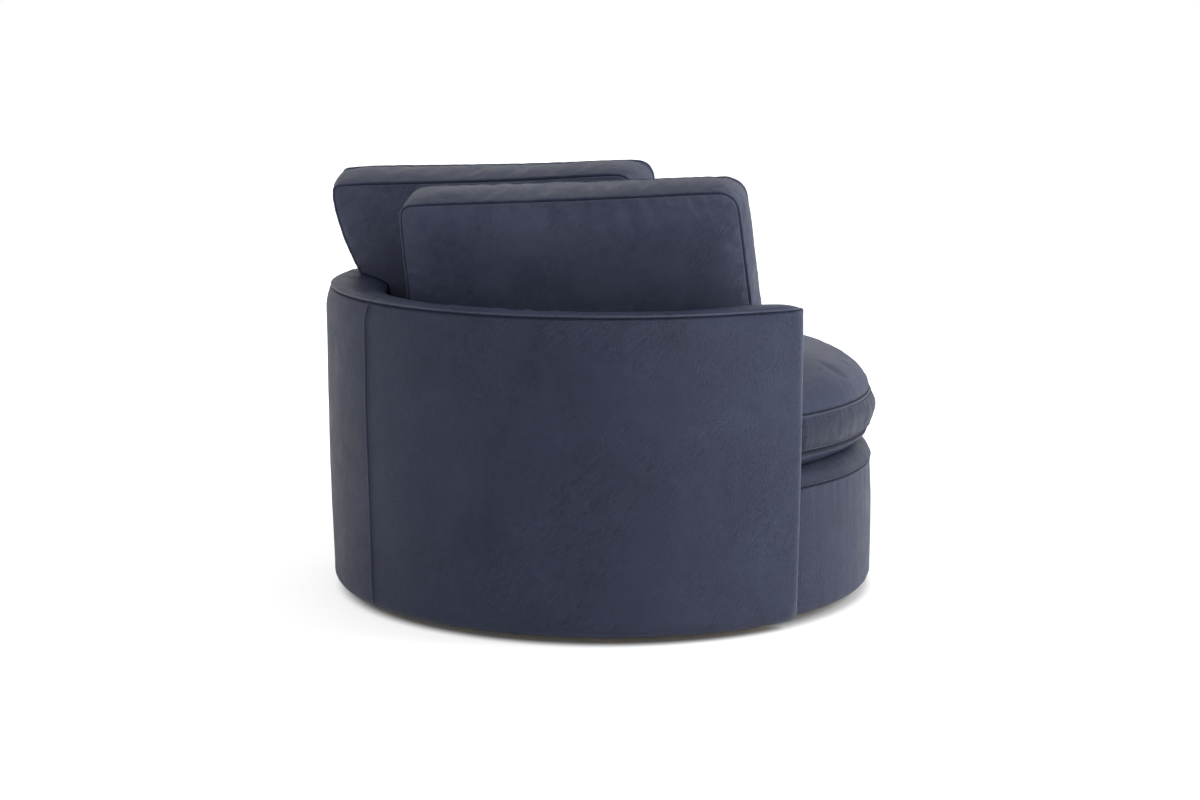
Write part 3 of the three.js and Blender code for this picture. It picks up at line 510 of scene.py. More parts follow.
middleRadius = wall["radius"] - wall["thickness"] / 2
armFront = math.pi - math.radians(wall["halfAngle"])


def fromArmEnd(w, azimuth, radius=wall["radius"]):  # length of arc
    return (math.radians(w["halfAngle"]) - np.abs(azimuth - math.pi)) * radius


def wallRadius(w, height, azimuth=math.pi):  # narrower at the foot, rolled in towards the rim seam
    inset = np.interp(height, w["sideHeights"], w["sideInsets"])
    share = np.maximum(1 - (w["seam"] - height) / w["shoulderDrop"], 0)
    squared = smooth(0, w["shoulderEase"], fromArmEnd(w, azimuth))
    ease = w["shoulderLeast"] + (1 - w["shoulderLeast"]) * squared
    return w["radius"] - inset - w["shoulderInset"] * ease * share ** w["shoulderPower"]


def footProfile(radius, w):  # from the hem under the edge round to the side
    roll = (radius - w["footRoll"], w["hem"] + w["footRoll"])
    return np.concatenate([[(roll[0] - w["hemWidth"], w["hem"])], arc(roll, w["footRoll"], -90, 0, 6)])


def heightsAbove(foot, w, spacing):  # up to the seam, dense below it
    rising = np.arange(foot[-1, 1] + w["spacing"], w["seam"] - closeBy[-1] - 3, spacing)
    return np.concatenate([rising, w["seam"] - closeBy[::-1]])


def outerTuck(w, azimuth):  # where the leather turns in at the rim's outer seam
    return [(wallRadius(w, w["seam"], azimuth) - w["tuck"], w["seam"] - 0.1)]


def innerTuck(w):
    return [(innerRadius + w["innerTuck"], w["innerSeam"] - 0.1)]


def outerProfile(w, azimuth):
    foot = footProfile(w["footRadius"], w)
    heights = heightsAbove(foot, w, w["spacing"] * 1.1)
    radii = wallRadius(w, heights, azimuth) + seamRelief(w["seam"] - heights, 0.3)
    return np.concatenate([foot, np.stack([radii, heights], axis=1), outerTuck(w, azimuth)])


def rimProfile(w, azimuth):  # over the top, with a folded lip along the outer seam
    turn = np.linspace(0, math.pi, 240)
    across = np.sign(np.cos(turn)) * np.abs(np.cos(turn)) ** w["crownRound"]
    share = (1 - across) / 2
    up = np.maximum(np.sin(turn), 0) ** w["crownRound"]
    edge = wallRadius(w, w["seam"], azimuth)
    level = w["seam"] + (w["innerSeam"] - w["seam"]) * share
    path = np.stack([edge + (innerRadius - edge) * share, level + crownAt(w, azimuth) * up], axis=1)
    length = lengthOf(path)
    places = graded(length, 0, rimCloseBy, w["rimSteps"])
    path = spaced(path, places)
    relief = seamRelief(places, 0.65) + seamRelief(length - places, 0.3, 0.2)
    relief -= 0.4 * hill(places, w["topstitch"], 0.9)
    path = path - leftOf(path) * relief[:, None]
    return np.concatenate([outerTuck(w, azimuth), path, innerTuck(w)])


def innerProfile(w):
    heights = np.concatenate([w["innerSeam"] - closeBy, np.arange(w["innerSeam"] - 20, w["innerBottom"], -9.0)])
    radii = innerRadius - seamRelief(w["innerSeam"] - heights, 0.2, 0.2)
    return np.concatenate([innerTuck(w), np.stack([radii, heights], axis=1)])


def wallStations(w, nearMiddle):  # azimuths from the arm's front to the back's middle, and their insets
    turn = np.radians(np.linspace(90, 0, 10))
    roll = w["endRoll"]
    lip = 0.9 * hill((math.pi / 2 - turn) * roll, 3.2, 1.6)
    inset = np.concatenate([[roll + 2, roll + 0.8], roll * (1 - np.cos(turn)) - lip, [0] * 3])
    fromEnd = np.concatenate([[2.1, 1.2], 0.5 + roll * (1 - np.sin(turn)), roll + np.array([5, 10, 16])])
    first = fromEnd[-1] / middleRadius
    last = math.pi - nearMiddle[0] / w["radius"]
    rest = np.linspace(armFront + first, last, int((last - armFront - first) * w["radius"] / w["spacing"]) + 1)
    middle = math.pi - np.array(nearMiddle[1:]) / w["radius"]
    azimuths = np.concatenate([armFront + fromEnd / middleRadius, rest[1:], middle])
    return azimuths, np.concatenate([inset, np.zeros(len(rest) - 1 + len(middle))])


def crownAt(w, azimuth):
    fromEnd = fromArmEnd(w, azimuth, middleRadius)
    share = min(max(fromEnd / w["endLength"], 0), 1)
    crown = w["crown"] + w["full"] * hill(fromEnd, w["fullAt"], w["fullWidth"])
    return crown * (1 - w["endCrown"] * (1 - math.sqrt(1 - (1 - share) ** 2)))


def carried(profileAt, azimuths, insets):  # points of a profile carried round, drawn in where the arm ends
    rings = []
    for azimuth, inset in zip(azimuths, insets):
        profile = profileAt(azimuth)
        normals = evenLeftOf(profile[1:-1])
        shifted = profile + np.concatenate([normals[:1], normals, normals[-1:]]) * inset
        rings.append(polar(shifted[:, 0], azimuth, shifted[:, 1]))
    return np.array(rings)


def outwardOf(points):
    return unit(points * [1, 1, 0])


def aroundAxis(points, radius):  # length of arc from the front
    return np.arctan2(points[..., 0], -points[..., 1]) * radius


def wallRipple(points, w=wall):  # soft hollows of stretched leather, and short puckers under the seam
    broad = cloudy(points * [1, 1, 0.8], 170, 3) * w["ripple"]
    below = w["seam"] - points[..., 2]
    around = aroundAxis(points, w["radius"])
    slanted = laidFlat(around + below * 0.35, below * 0.14)
    pucker = ridged(slanted, 26, 21) * fading(np.maximum(below, 0), 30) * smooth(2, 12, below)
    diagonal = laidFlat((around + below) * 0.9, (around - below) * 0.22)
    creased = ridged(diagonal, 34, 23) * smooth(0.1, 0.6, noise(points, 130, 25))
    patchy = smooth(-0.1, 0.5, noise(slanted * [1, 0, 0], 110, 5))
    return broad + pucker * patchy * w["pucker"] + creased * 0.3


def makeOuterPanel(side, w):
    azimuths, insets = wallStations(w, w["nearMiddle"])
    fromFront = (azimuths - armFront)[:, None] * w["radius"]
    fromMiddle = (math.pi - azimuths)[:, None] * w["radius"]
    points = carried(lambda azimuth: outerProfile(w, azimuth), azimuths, insets)
    points += outwardOf(points) * seamRelief(fromMiddle, 0.4, 0.35)[..., None]
    points = points * [1 if side == "left" else -1, 1, 1]
    height = points[..., 2]
    below = w["seam"] - height
    bend = np.maximum(wallRipple(points), -0.5) * smooth(2, 14, below)
    bend = bend * (0.2 + 0.8 * smooth(0, 30, fromFront)) * smooth(16, 60, height)
    points = points + outwardOf(points) * bend[..., None]
    panel = sheetObject(f"outer_panel_{side}", points, mirrored=side == "right")
    wear = wearAndGlint(fromFront, *w["endWear"]) + wearAndGlint(below, *w["topWear"])
    wear = wear + wearAndGlint(height - w["hem"], *w["footWear"]) + wearAndGlint(fromMiddle, *w["middleWear"])
    setShares(panel, wear=wear, seam=seamShade(below, *w["topShade"]) + seamShade(fromMiddle, *w["middleShade"]))
    dress(panel, f"outer_cover_{side}")


def makeRimBand(w, azimuths, insets):
    rim = carried(lambda azimuth: rimProfile(w, azimuth), azimuths, insets)
    inside = smooth(0, 14, wallRadius(w, w["seam"]) - np.hypot(rim[..., 0], rim[..., 1]))
    crossing = 0.8 * hill((azimuths - math.pi) * w["radius"], 0, 1.2)[:, None]  # where the back's seam ends
    around = laidFlat(azimuths[:, None] * w["radius"], rim[..., 2] * 0.6)
    folds = ridged(around, 60, 33) * smooth(-0.3, 0.3, noise(around * [1, 0, 0], 210, 35)) * 2.2
    rim[..., 2] += (cloudy(rim, 90, 31) * 0.8 + folds) * inside - crossing
    band = sheetObject("rim_band", rim)
    fromEnd = fromArmEnd(w, azimuths)
    fromSeam = np.cumsum(np.linalg.norm(np.diff(rim, axis=1, prepend=rim[:, :1]), axis=2), axis=1) - 2
    # a painted highlight along the rim's folded lip, and real wear towards the arm ends
    wear = hill(fromSeam, seamShape["lipAt"], 2.4) + wearAndGlint(fromEnd, *w["armWear"])[:, None]
    setShares(band, wear=wear, seam=seamShade(fromSeam, *w["topShade"]))
    dress(band, "rim_cover")
    sewn = azimuths[fromEnd > 15]
    edge = wallRadius(w, w["seam"], sewn)
    path = polar(edge - 0.9, sewn, np.full(len(edge), w["seam"] + 0.9))
    stitchRow("rim_stitches", path, outwardOf(path))


def makeInnerLining(w, azimuths, insets):
    inner = carried(lambda azimuth: innerProfile(w), azimuths, insets)
    bend = cloudy(inner, 140, 41) * 0.6 * smooth(0, 14, w["innerSeam"] - inner[..., 2])
    lining = sheetObject("inner_lining", inner - outwardOf(inner) * bend[..., None])
    setShares(lining, wear=np.full(bend.shape, 0.1))
    dress(lining, "inner_cover")


def makeArmFront(side, w):
    inset = w["endRoll"] + 0.2
    outer = outerProfile(w, armFront)[:-9]
    outer = outer + evenLeftOf(outer) * inset
    rim = rimProfile(w, armFront)[10:-10]
    rim = rim + evenLeftOf(rim) * inset
    peak = int(np.argmax(rim[:, 1]))
    outerSide = np.concatenate([outer, rim[:peak + 1]])
    levels = (w["hem"] + inset, 200, w["innerSeam"] - 16)
    innerSide = np.concatenate([[(innerRadius + inset, level) for level in levels], rim[peak:][::-1]])
    low = outerSide[:, 1]
    innerAt = np.interp(low, innerSide[:, 1], innerSide[:, 0])
    share = graded(100.0, 5.0, (0.9, 2.0, 3.4, 5.5, 8.5)) / 100
    radius = outerSide[:, 0][:, None] * (1 - share) + innerAt[:, None] * share
    height = np.repeat(low[:, None], len(share), axis=1)
    across = np.minimum(share, 1 - share)[None] * np.abs(outerSide[:, 0] - innerAt)[:, None]
    fromTop = np.maximum(rim[peak, 1] - low, 0)[:, None]
    fromFoot = np.maximum(low - low[0], 0)[:, None]
    edge = np.minimum(across, np.minimum(fromTop, fromFoot))
    forward = 1.4 - 1.2 * (1 - fading(edge, 9)) + 0.7 * fading(edge, 1.2)
    points = polar(radius, armFront + forward / middleRadius, height)
    points[..., 1] += cloudy(points, 60, 51) * 0.5 * smooth(2, 20, edge)
    if side == "right":
        points = points * [-1, 1, 1]
    front = sheetObject(f"arm_front_{side}", points, mirrored=side == "right")
    setShares(front, wear=fading(edge, 6), seam=seamShade(edge))
    dress(front, f"arm_front_cover_{side}", f"arm_pad_{side}")


def makeWall(w):
    for side in ("left", "right"):
        makeOuterPanel(side, w)
        makeArmFront(side, w)
    azimuths, insets = wallStations(w, w["rimNearMiddle"])
    azimuths = np.concatenate([azimuths, (2 * math.pi - azimuths[:-1])[::-1]])
    insets = np.concatenate([insets, insets[:-1][::-1]])
    makeRimBand(w, azimuths, insets)
    makeInnerLining(w, azimuths, insets)


makeWall(wall)
print("wall made")

# Base under the seat
base = {
    "radius": 561.0, "footRoll": 24.0, "hem": 15.0, "hemWidth": 16.0,
    "seam": 277.0, "seamInset": 4.0, "tuck": 6.0,
    "sideHeights": (39, 107, 200, 250, 277), "sideInsets": (0, -0.8, 0, 2.2, 4),
    "borderRadius": 505.0, "deck": 313.0, "borderRound": 0.85, "rearStations": 240, "rearClearance": 1.5,
    "around": 4.5, "spacing": 6.0, "ripple": 0.9, "pull": 0.9,
    # the last entry of the next line darkens the deck panel as painted shade
    "seamWear": (0.5, 6), "footWear": (0.7, 18), "deckShade": -0.4,
}


def turned(profile, azimuths):
    return np.array([polar(profile[:, 0], azimuth, profile[:, 1]) for azimuth in azimuths])


def makeBaseFront(b, edge, azimuths):
    foot = footProfile(b["radius"], b)
    heights = heightsAbove(foot, b, b["spacing"])
    radii = b["radius"] - np.interp(heights, b["sideHeights"], b["sideInsets"])
    radii += seamRelief(b["seam"] - heights, 0.2)
    tuck = [(edge - b["tuck"], b["seam"] - 0.3)]
    points = turned(np.concatenate([foot, np.stack([radii, heights], axis=1), tuck]), azimuths)
    below = b["seam"] - points[..., 2]
    around = laidFlat(azimuths[:, None] * b["radius"], below * 0.06)
    pulls = noise(around, 13, 61) * fading(np.maximum(below, 0), 60)
    pulls += noise(around, 17, 62) * fading(np.maximum(points[..., 2] - 15, 0), 45)
    bend = cloudy(points, 150, 63) * b["ripple"] + pulls * b["pull"]
    bend = bend * smooth(0, 10, below) * smooth(15, 40, points[..., 2])
    cover = sheetObject("base_front", points + outwardOf(points) * bend[..., None])
    wear = wearAndGlint(below, *b["seamWear"]) + wearAndGlint(points[..., 2] - b["hem"], *b["footWear"])
    setShares(cover, wear=wear, seam=seamShade(below))
    dress(cover, "base_cover", "base_wadding")


def makeDeckPanel(b, edge, azimuths):  # over the rounded border in front, level behind
    turn = np.linspace(0, math.pi / 2, 90)
    width = (edge - b["borderRadius"]) * np.maximum(np.cos(turn), 0) ** b["borderRound"]
    height = (b["deck"] - b["seam"]) * np.sin(turn) ** b["borderRound"]
    border = np.stack([b["borderRadius"] + width, b["seam"] + height], axis=1)
    places = np.concatenate([closeBy, np.arange(closeBy[-1] + 5, lengthOf(border), 5.0)])
    border = spaced(border, places)
    border = border - leftOf(border) * seamRelief(places, 0.7)[:, None]
    flat = np.stack([np.linspace(b["borderRadius"] - 4, 20, 60), np.full(60, b["deck"])], axis=1)
    profile = np.concatenate([[(edge - b["tuck"], b["seam"] + 0.3)], border, flat])
    step = 0.3 / b["radius"]
    rear = np.linspace(armFront + step, 2 * math.pi - armFront - step, b["rearStations"])
    within = innerRadius - b["rearClearance"]
    tight = np.minimum(profile[:, 0], within - 0.02 * np.arange(len(profile)))
    level = np.where(profile[:, 0] > within, b["deck"], profile[:, 1])
    closing = turned(profile, [-armFront + 2 * math.pi - step * 0.2])
    behind = turned(np.stack([tight, level], axis=1), rear)
    points = np.concatenate([turned(profile, azimuths), behind, closing])
    fromAxis = np.hypot(points[..., 0], points[..., 1])
    radial = laidFlat(aroundAxis(points, b["radius"]), fromAxis * 0.15)
    up = smooth(2, 14, points[..., 2] - b["seam"]) * smooth(innerRadius, innerRadius + 30, fromAxis)
    points[..., 2] += (cloudy(points, 70, 66) * 0.9 + ridged(radial, 24, 67) * 0.8) * up
    deck = sheetObject("deck_panel", points, thickness=1.6)
    above = np.concatenate([[0], places, np.full(len(flat), 99.0)])[None] + 0 * points[..., 2]
    # painted shade: the whole deck panel is made darker
    setShares(deck, wear=wearAndGlint(above, *b["seamWear"]), seam=seamShade(above), fade=0 * above + b["deckShade"])
    dress(deck, "deck_cover")


def makeBase(b):
    edge = b["radius"] - b["seamInset"]
    azimuths = np.linspace(-armFront, armFront, int(2 * armFront * b["radius"] / b["around"]) + 1)
    makeBaseFront(b, edge, azimuths)
    makeDeckPanel(b, edge, azimuths)


makeBase(base)
print("base made")

# Cushions
sewnHide = {"quality": 5, "mass": 0.4, "stretch": 12.0, "shear": 7.2, "bend": 1.5, "frames": 16}


def puff(points, faceSets, pinned, c, h=sewnHide):  # how far a simulation swells it, held at its seams
    piece = meshObject("swelling", points, *faceSets)
    group = piece.vertex_groups.new(name="seams")
    group.add([int(i) for i in pinned], 1.0, "REPLACE")
    cloth = piece.modifiers.new("leather", "CLOTH")
    s = cloth.settings
    s.quality, s.mass = h["quality"], h["mass"]
    s.tension_stiffness = s.compression_stiffness = h["stretch"]
    s.shear_stiffness, s.bending_stiffness = h["shear"], h["bend"]
    s.use_pressure = True
    s.uniform_pressure_force = c["pressure"]
    s.shrink_min = -c["ease"]
    s.vertex_group_mass = "seams"
    s.effector_weights.gravity = 0
    cloth.collision_settings.use_collision = False
    cloth.collision_settings.use_self_collision = False
    scene.frame_start, scene.frame_end = 1, h["frames"]
    cloth.point_cache.frame_start, cloth.point_cache.frame_end = 1, h["frames"]
    for step in range(1, h["frames"] + 1):
        scene.frame_set(step)
    swollen = piece.evaluated_get(bpy.context.evaluated_depsgraph_get())
    after = np.empty(len(points) * 3)
    swollen.data.vertices.foreach_get("co", after)
    scene.frame_set(1)
    bpy.data.objects.remove(piece)
    move = after.reshape(-1, 3) / mm - points
    far = np.linalg.norm(move, axis=1)[:, None]
    print("swells by up to", round(float(far.max()), 1), "mm, on average", round(float(far.mean()), 1))
    return move * c["cap"] * np.tanh(far / c["cap"]) / np.maximum(far, 1e-9)


def carryOver(coarse, move, fine, reach=9.0):  # a coarse mesh's movement, spread over a finer one
    tree = KDTree(len(coarse))
    for i, place in enumerate(coarse):
        tree.insert(place, i)
    tree.balance()
    total = np.zeros_like(fine)
    for k, place in enumerate(fine):
        found = tree.find_n(place, 6)
        weight = np.exp(-(np.array([f[2] for f in found]) / reach) ** 2)
        total[k] = weight @ move[[f[1] for f in found]] / weight.sum()
    return total


backCushion = {
    "width": 680.0, "thickness": 145.0, "height": 376.0, "crown": 16.0, "crownPower": 0.6, "bulge": 7.0,
    "drawIn": 5.0, "lean": 9.0, "roll": 2.6, "twist": 2.0, "squeezeDepth": 268.0, "squeezePower": 2.07,
    "spacing": 4.5, "coarse": 10.0, "pressure": 3.0, "ease": 0.012, "cap": 6.0, "fill": 0.85,
    # the pair after pucker is painted light: faces much lighter, boxing a little
    "pucker": 4.2, "fade": (0.95, 0.2), "topstitch": 6.0, "lip": 1.0, "groove": 1.0,
    "left": {
        "centre": (153.1, 151.3, 684.6), "turn": 35.4, "squeeze": 77.0, "corners": (30.0, 13.0), "seed": 71,
        "ends": (24.0, 9.0), "flare": 40.0, "taper": 0.0, "spread": 0.0, "sag": 3.0, "tilt": 4.0,
    },
    "right": {
        "centre": (-163.5, 175.3, 670.4), "turn": 43.9, "squeeze": 0.0, "corners": (34.0, 19.0), "seed": 81,
        "ends": (7.0, 9.0), "flare": 8.0, "taper": 0.07, "spread": 3.0, "sag": 3.0, "tilt": 0.0,
    },
}


def boxSurface(c, corners, spacing, close):  # two faces and the boxing between them, in the cushion's own place
    across = graded(c["width"], spacing, close)
    upwards = graded(c["height"], spacing, close)
    through = graded(c["thickness"], spacing, close)[1:-1]
    columns, rows = len(across), len(upwards)
    u, v = np.meshgrid(across / c["width"] * 2 - 1, upwards / c["height"] * 2 - 1)
    halfWidth, halfHeight = c["width"] / 2, c["height"] / 2
    x, z = u * halfWidth, v * halfHeight
    r = np.where(u < 0, corners[0], corners[1])
    dx = np.maximum(np.abs(x) - (halfWidth - r), 0) / r
    dz = np.maximum(np.abs(z) - (halfHeight - r), 0) / r
    nx, nz = dx * np.sqrt(1 - dz ** 2 / 2), dz * np.sqrt(1 - dx ** 2 / 2)
    inner = np.maximum(r - np.hypot(nx, nz) * r, 0)
    straight = np.minimum(halfWidth - np.abs(x), halfHeight - np.abs(z))
    fromSeam = np.where((dx > 0) & (dz > 0), inner, straight)
    x = np.where(dx > 0, np.sign(x) * (halfWidth - r + nx * r), x)
    z = np.where(dz > 0, np.sign(z) * (halfHeight - r + nz * r), z)
    along = np.where(halfWidth - np.abs(x) < halfHeight - np.abs(z), z + 900, x)
    swell = c["crown"] * (np.maximum(1 - u ** 4, 0) * np.maximum(1 - v ** 4, 0)) ** c["crownPower"]
    half = c["thickness"] / 2
    front = np.stack([x, -(half + swell), z], axis=-1).reshape(-1, 3)
    loop = loopOf(rows, columns)
    edge = front[loop]
    tangent = np.roll(edge, -1, 0) - np.roll(edge, 1, 0)
    outward = unit(np.stack([tangent[:, 2], 0 * tangent[:, 0], -tangent[:, 0]], axis=1))
    steps = alongPath(edge)
    band, bandFromSeam, bandAlong = [], [], []
    for place in through:
        share = place / half - 1
        ring = edge + outward * c["bulge"] * (1 - share ** 2)
        ring[:, 1] = half * share
        band.append(ring)
        bandFromSeam.append(np.full(len(loop), min(place, c["thickness"] - place)))
        bandAlong.append(steps + 2000)
    count = len(front)
    bandRings = [2 * count + k * len(loop) + np.arange(len(loop)) for k in range(len(through))]
    rings = [loop, *bandRings, loop + count]
    faces = gridFaces(rows, columns)
    quads = [faces, faces[:, ::-1] + count]
    for upper, lower in zip(rings[:-1], rings[1:]):
        quads.append(np.stack([lower, np.roll(lower, -1), np.roll(upper, -1), upper], axis=1))
    return {
        "points": np.concatenate([front, front * [1, -1, 1], *band]),
        "faces": [np.concatenate(quads)],
        "fromSeam": np.concatenate([fromSeam.ravel()] * 2 + bandFromSeam),
        "along": np.concatenate([along.ravel(), along.ravel() + 400, *bandAlong]),
        "boxing": np.repeat([0.0, 1.0], [2 * count, len(loop) * len(through)]),
        "rings": rings,
        "places": np.concatenate([[0], through, [c["thickness"]]]),
    }


fineClose = (0.9, 1.9, 3.0, 4.3, 6.0, 8.5, 12.0)


def wallLimit(height, gap=1.0, w=wall):  # how far out a cushion may reach at a height, and over the crown
    path = rimProfile(w, math.pi)[1:-1][::-1]
    path = path[:int(np.argmax(path[:, 1])) + 1]
    over = np.maximum(height - path[-1, 1], 0)
    return np.interp(height, path[:, 1], path[:, 0]) - gap + over * 3.5


def leatherRelief(surface, points, seed, c):  # seams, topstitching, puckers and soft hollows
    d, along, boxing = surface["fromSeam"], surface["along"], surface["boxing"]
    relief = seamRelief(d, np.where(boxing > 0, c["lip"], 0.1), c["groove"])
    relief -= boxing * 0.55 * hill(d, c["topstitch"], 1.0)
    slanted = laidFlat(along + d * 0.45, d * 0.16)
    patchy = smooth(-0.15, 0.45, noise(slanted * [1, 0, 0], 120, seed))
    fingers = ridged(slanted, 27, seed + 1) * fading(d, 34) * smooth(3, 16, d) * (1 - boxing)
    fine = noise(laidFlat(along, d * 0.12), 11, seed + 2) * fading(d, 26) * smooth(1, 8, d)
    hollows = cloudy(points, 150, seed + 3) * smooth(6, 50, d)
    boxed = noise(laidFlat(along, d * 0.3), 42, seed + 4) * boxing * smooth(4, 22, d)
    # the puckers' ridges, which also take a painted glint through the wear share
    surface["wearAndGlint"] = fingers * patchy
    return relief + surface["wearAndGlint"] * c["pucker"] + fine * 0.9 + hollows * 1.4 + boxed * 1.2


def swollen(build, c):  # the fine surface, swollen by the simulation of a coarser one
    surface = build(c["spacing"], fineClose)
    coarse = build(c["coarse"], (c["coarse"],))
    pinned = np.concatenate([coarse["rings"][0], coarse["rings"][-1]])
    move = puff(coarse["points"], coarse["faces"], pinned, c)
    surface["points"] = surface["points"] + carryOver(coarse["points"], move, surface["points"])
    return surface


def finishCushion(name, surface, points, seed, c, nodes):
    piece = meshObject(name, points, *surface["faces"])
    normals = normalsOf(piece)
    points = points + normals * leatherRelief(surface, points, seed, c)[:, None]
    setPoints(piece, points)
    d, boxing, onFace = surface["fromSeam"], surface["boxing"], 1 - surface["boxing"]
    # a painted highlight along the boxing's lip, real wear near the faces' edges, and painted glints on the
    # pucker ridges
    wear = hill(d, 4.8, 2.6) * boxing + wearAndGlint(d, 0.3, 12) * onFace + 0.8 * surface["wearAndGlint"]
    # painted light and shade: faces lighter, boxing as the cushion's pair sets it
    setShares(piece, wear=wear, seam=seamShade(d, 1.4), fade=c["fade"][0] * onFace + c["fade"][1] * boxing)
    dress(piece, *nodes, fill=c["fill"])
    thickness = surface["places"][-1]
    for label, wanted in (("front", c["topstitch"]), ("rear", thickness - c["topstitch"])):
        ring = surface["rings"][int(np.argmin(np.abs(surface["places"] - wanted)))]
        ring = np.concatenate([ring, ring[:1]])
        stitchRow(f"{name}_stitches_{label}", points[ring], normals[ring])


def makeBackCushion(side, c):
    place = c[side]
    surface = swollen(lambda spacing, close: boxSurface(c, place["corners"], spacing, close), c)
    local = surface["points"]
    u, v = local[:, 0] / (c["width"] / 2), local[:, 2] / (c["height"] / 2)
    corners = np.clip(np.abs(u * v), 0, 1) ** 10 * c["drawIn"]
    depth = np.clip((1 - v) * c["height"] / 2 / c["squeezeDepth"], 0, 1) ** c["squeezePower"]
    toLeft, toRight, back = np.maximum(-u, 0), np.maximum(u, 0), local[:, 1] / c["thickness"]
    inwards = place["squeeze"] * depth * toRight ** 2
    ends = place["ends"][0] * toLeft + place["ends"][1] * toRight
    ends += place["flare"] * (0.5 - back) * toRight ** 2
    ends += (place["taper"] * (local[:, 2] - 50) - place["spread"] * (0.5 + back)) * toLeft
    sag = place["sag"] * (1 - u * u) * np.maximum(v, 0) ** 2 + place["tilt"] * np.minimum(u + 0.2, 0)
    local = local - np.stack([np.sign(u) * corners + inwards - ends, 0 * u, np.sign(v) * corners + sag], axis=1)
    twist = np.radians(c["twist"]) * u
    local[:, 1], local[:, 2] = local[:, 1] + local[:, 2] * twist, local[:, 2] - local[:, 1] * twist
    angles = ((place["turn"], "Z"), (-c["lean"], "X"), (c["roll"], "Y"))
    turn, lean, roll = (Matrix.Rotation(math.radians(angle), 3, axis) for angle, axis in angles)
    points = local @ np.array(turn @ lean @ roll).T + np.array(place["centre"])
    radius = np.hypot(points[:, 0], points[:, 1])
    limit = wallLimit(points[:, 2])
    over = radius - limit
    pressed = np.where(over > -12, limit - np.log1p(np.exp(np.clip(-over / 4, -30, 30))) * 4, radius)
    points[:, :2] *= (np.minimum(pressed, radius) / np.maximum(radius, 1))[:, None]
    nodes = (f"back_cushion_cover_{side}", f"back_cushion_core_{side}")
    finishCushion(f"back_cushion_{side}", surface, points, place["seed"], c, nodes)


makeBackCushion("left", backCushion)
makeBackCushion("right", backCushion)
print("back cushions made")

seat = {
    "seam": 552.0, "rearSeam": 457.0, "lower": 348.0, "upper": 423.0, "bottom": 313.3, "bulge": 13.0,
    "crown": 100.0, "rearCrown": 0.4, "easeStart": -260.0, "easeEnd": 120.0, "flatness": 5.0, "round": 0.48,
    "inset": 42.0, "corner": 22.0, "armGap": 6.0, "seed": 95,
    "nearest": [0.02, 0.15],  # the crown rises steeply from its seam
    "spacing": 6.0, "coarse": 14.0, "around": 0.55, "pressure": 2.5, "ease": 0.01, "cap": 3.0, "fill": 0.8,
    # the pair after pucker is painted light and shade: faces a little lighter, boxing darker
    "pucker": 1.6, "fade": (0.19, -0.8), "topstitch": 6.0, "lip": 0.4, "groove": 0.3,
}


def seatOutline(s):  # plan of the seam: wide in front, stepping in behind the arms' front edges
    frontEdge = armFront - s["armGap"] / s["seam"]
    wide = np.linspace(0, frontEdge - s["corner"] * 1.3 / s["seam"], 200)
    rear = np.linspace(frontEdge + 0.05, math.pi, 200)
    step = np.array([(s["seam"] - s["corner"] * 0.35, frontEdge - s["corner"] * 0.35 / s["seam"]),
                     (s["seam"] - s["corner"] * 1.3, frontEdge),
                     (s["rearSeam"] + s["corner"] * 0.8, frontEdge + 0.002),
                     (s["rearSeam"] + s["corner"] * 0.15, frontEdge + 0.012)])
    radii = np.concatenate([np.full(200, s["seam"]), step[:, 0], np.full(200, s["rearSeam"])])
    azimuths = np.concatenate([wide, step[:, 1], rear])
    half = polar(radii, azimuths, 0 * radii)[:, :2]
    return np.concatenate([half, (half * [-1, 1])[::-1][1:]])


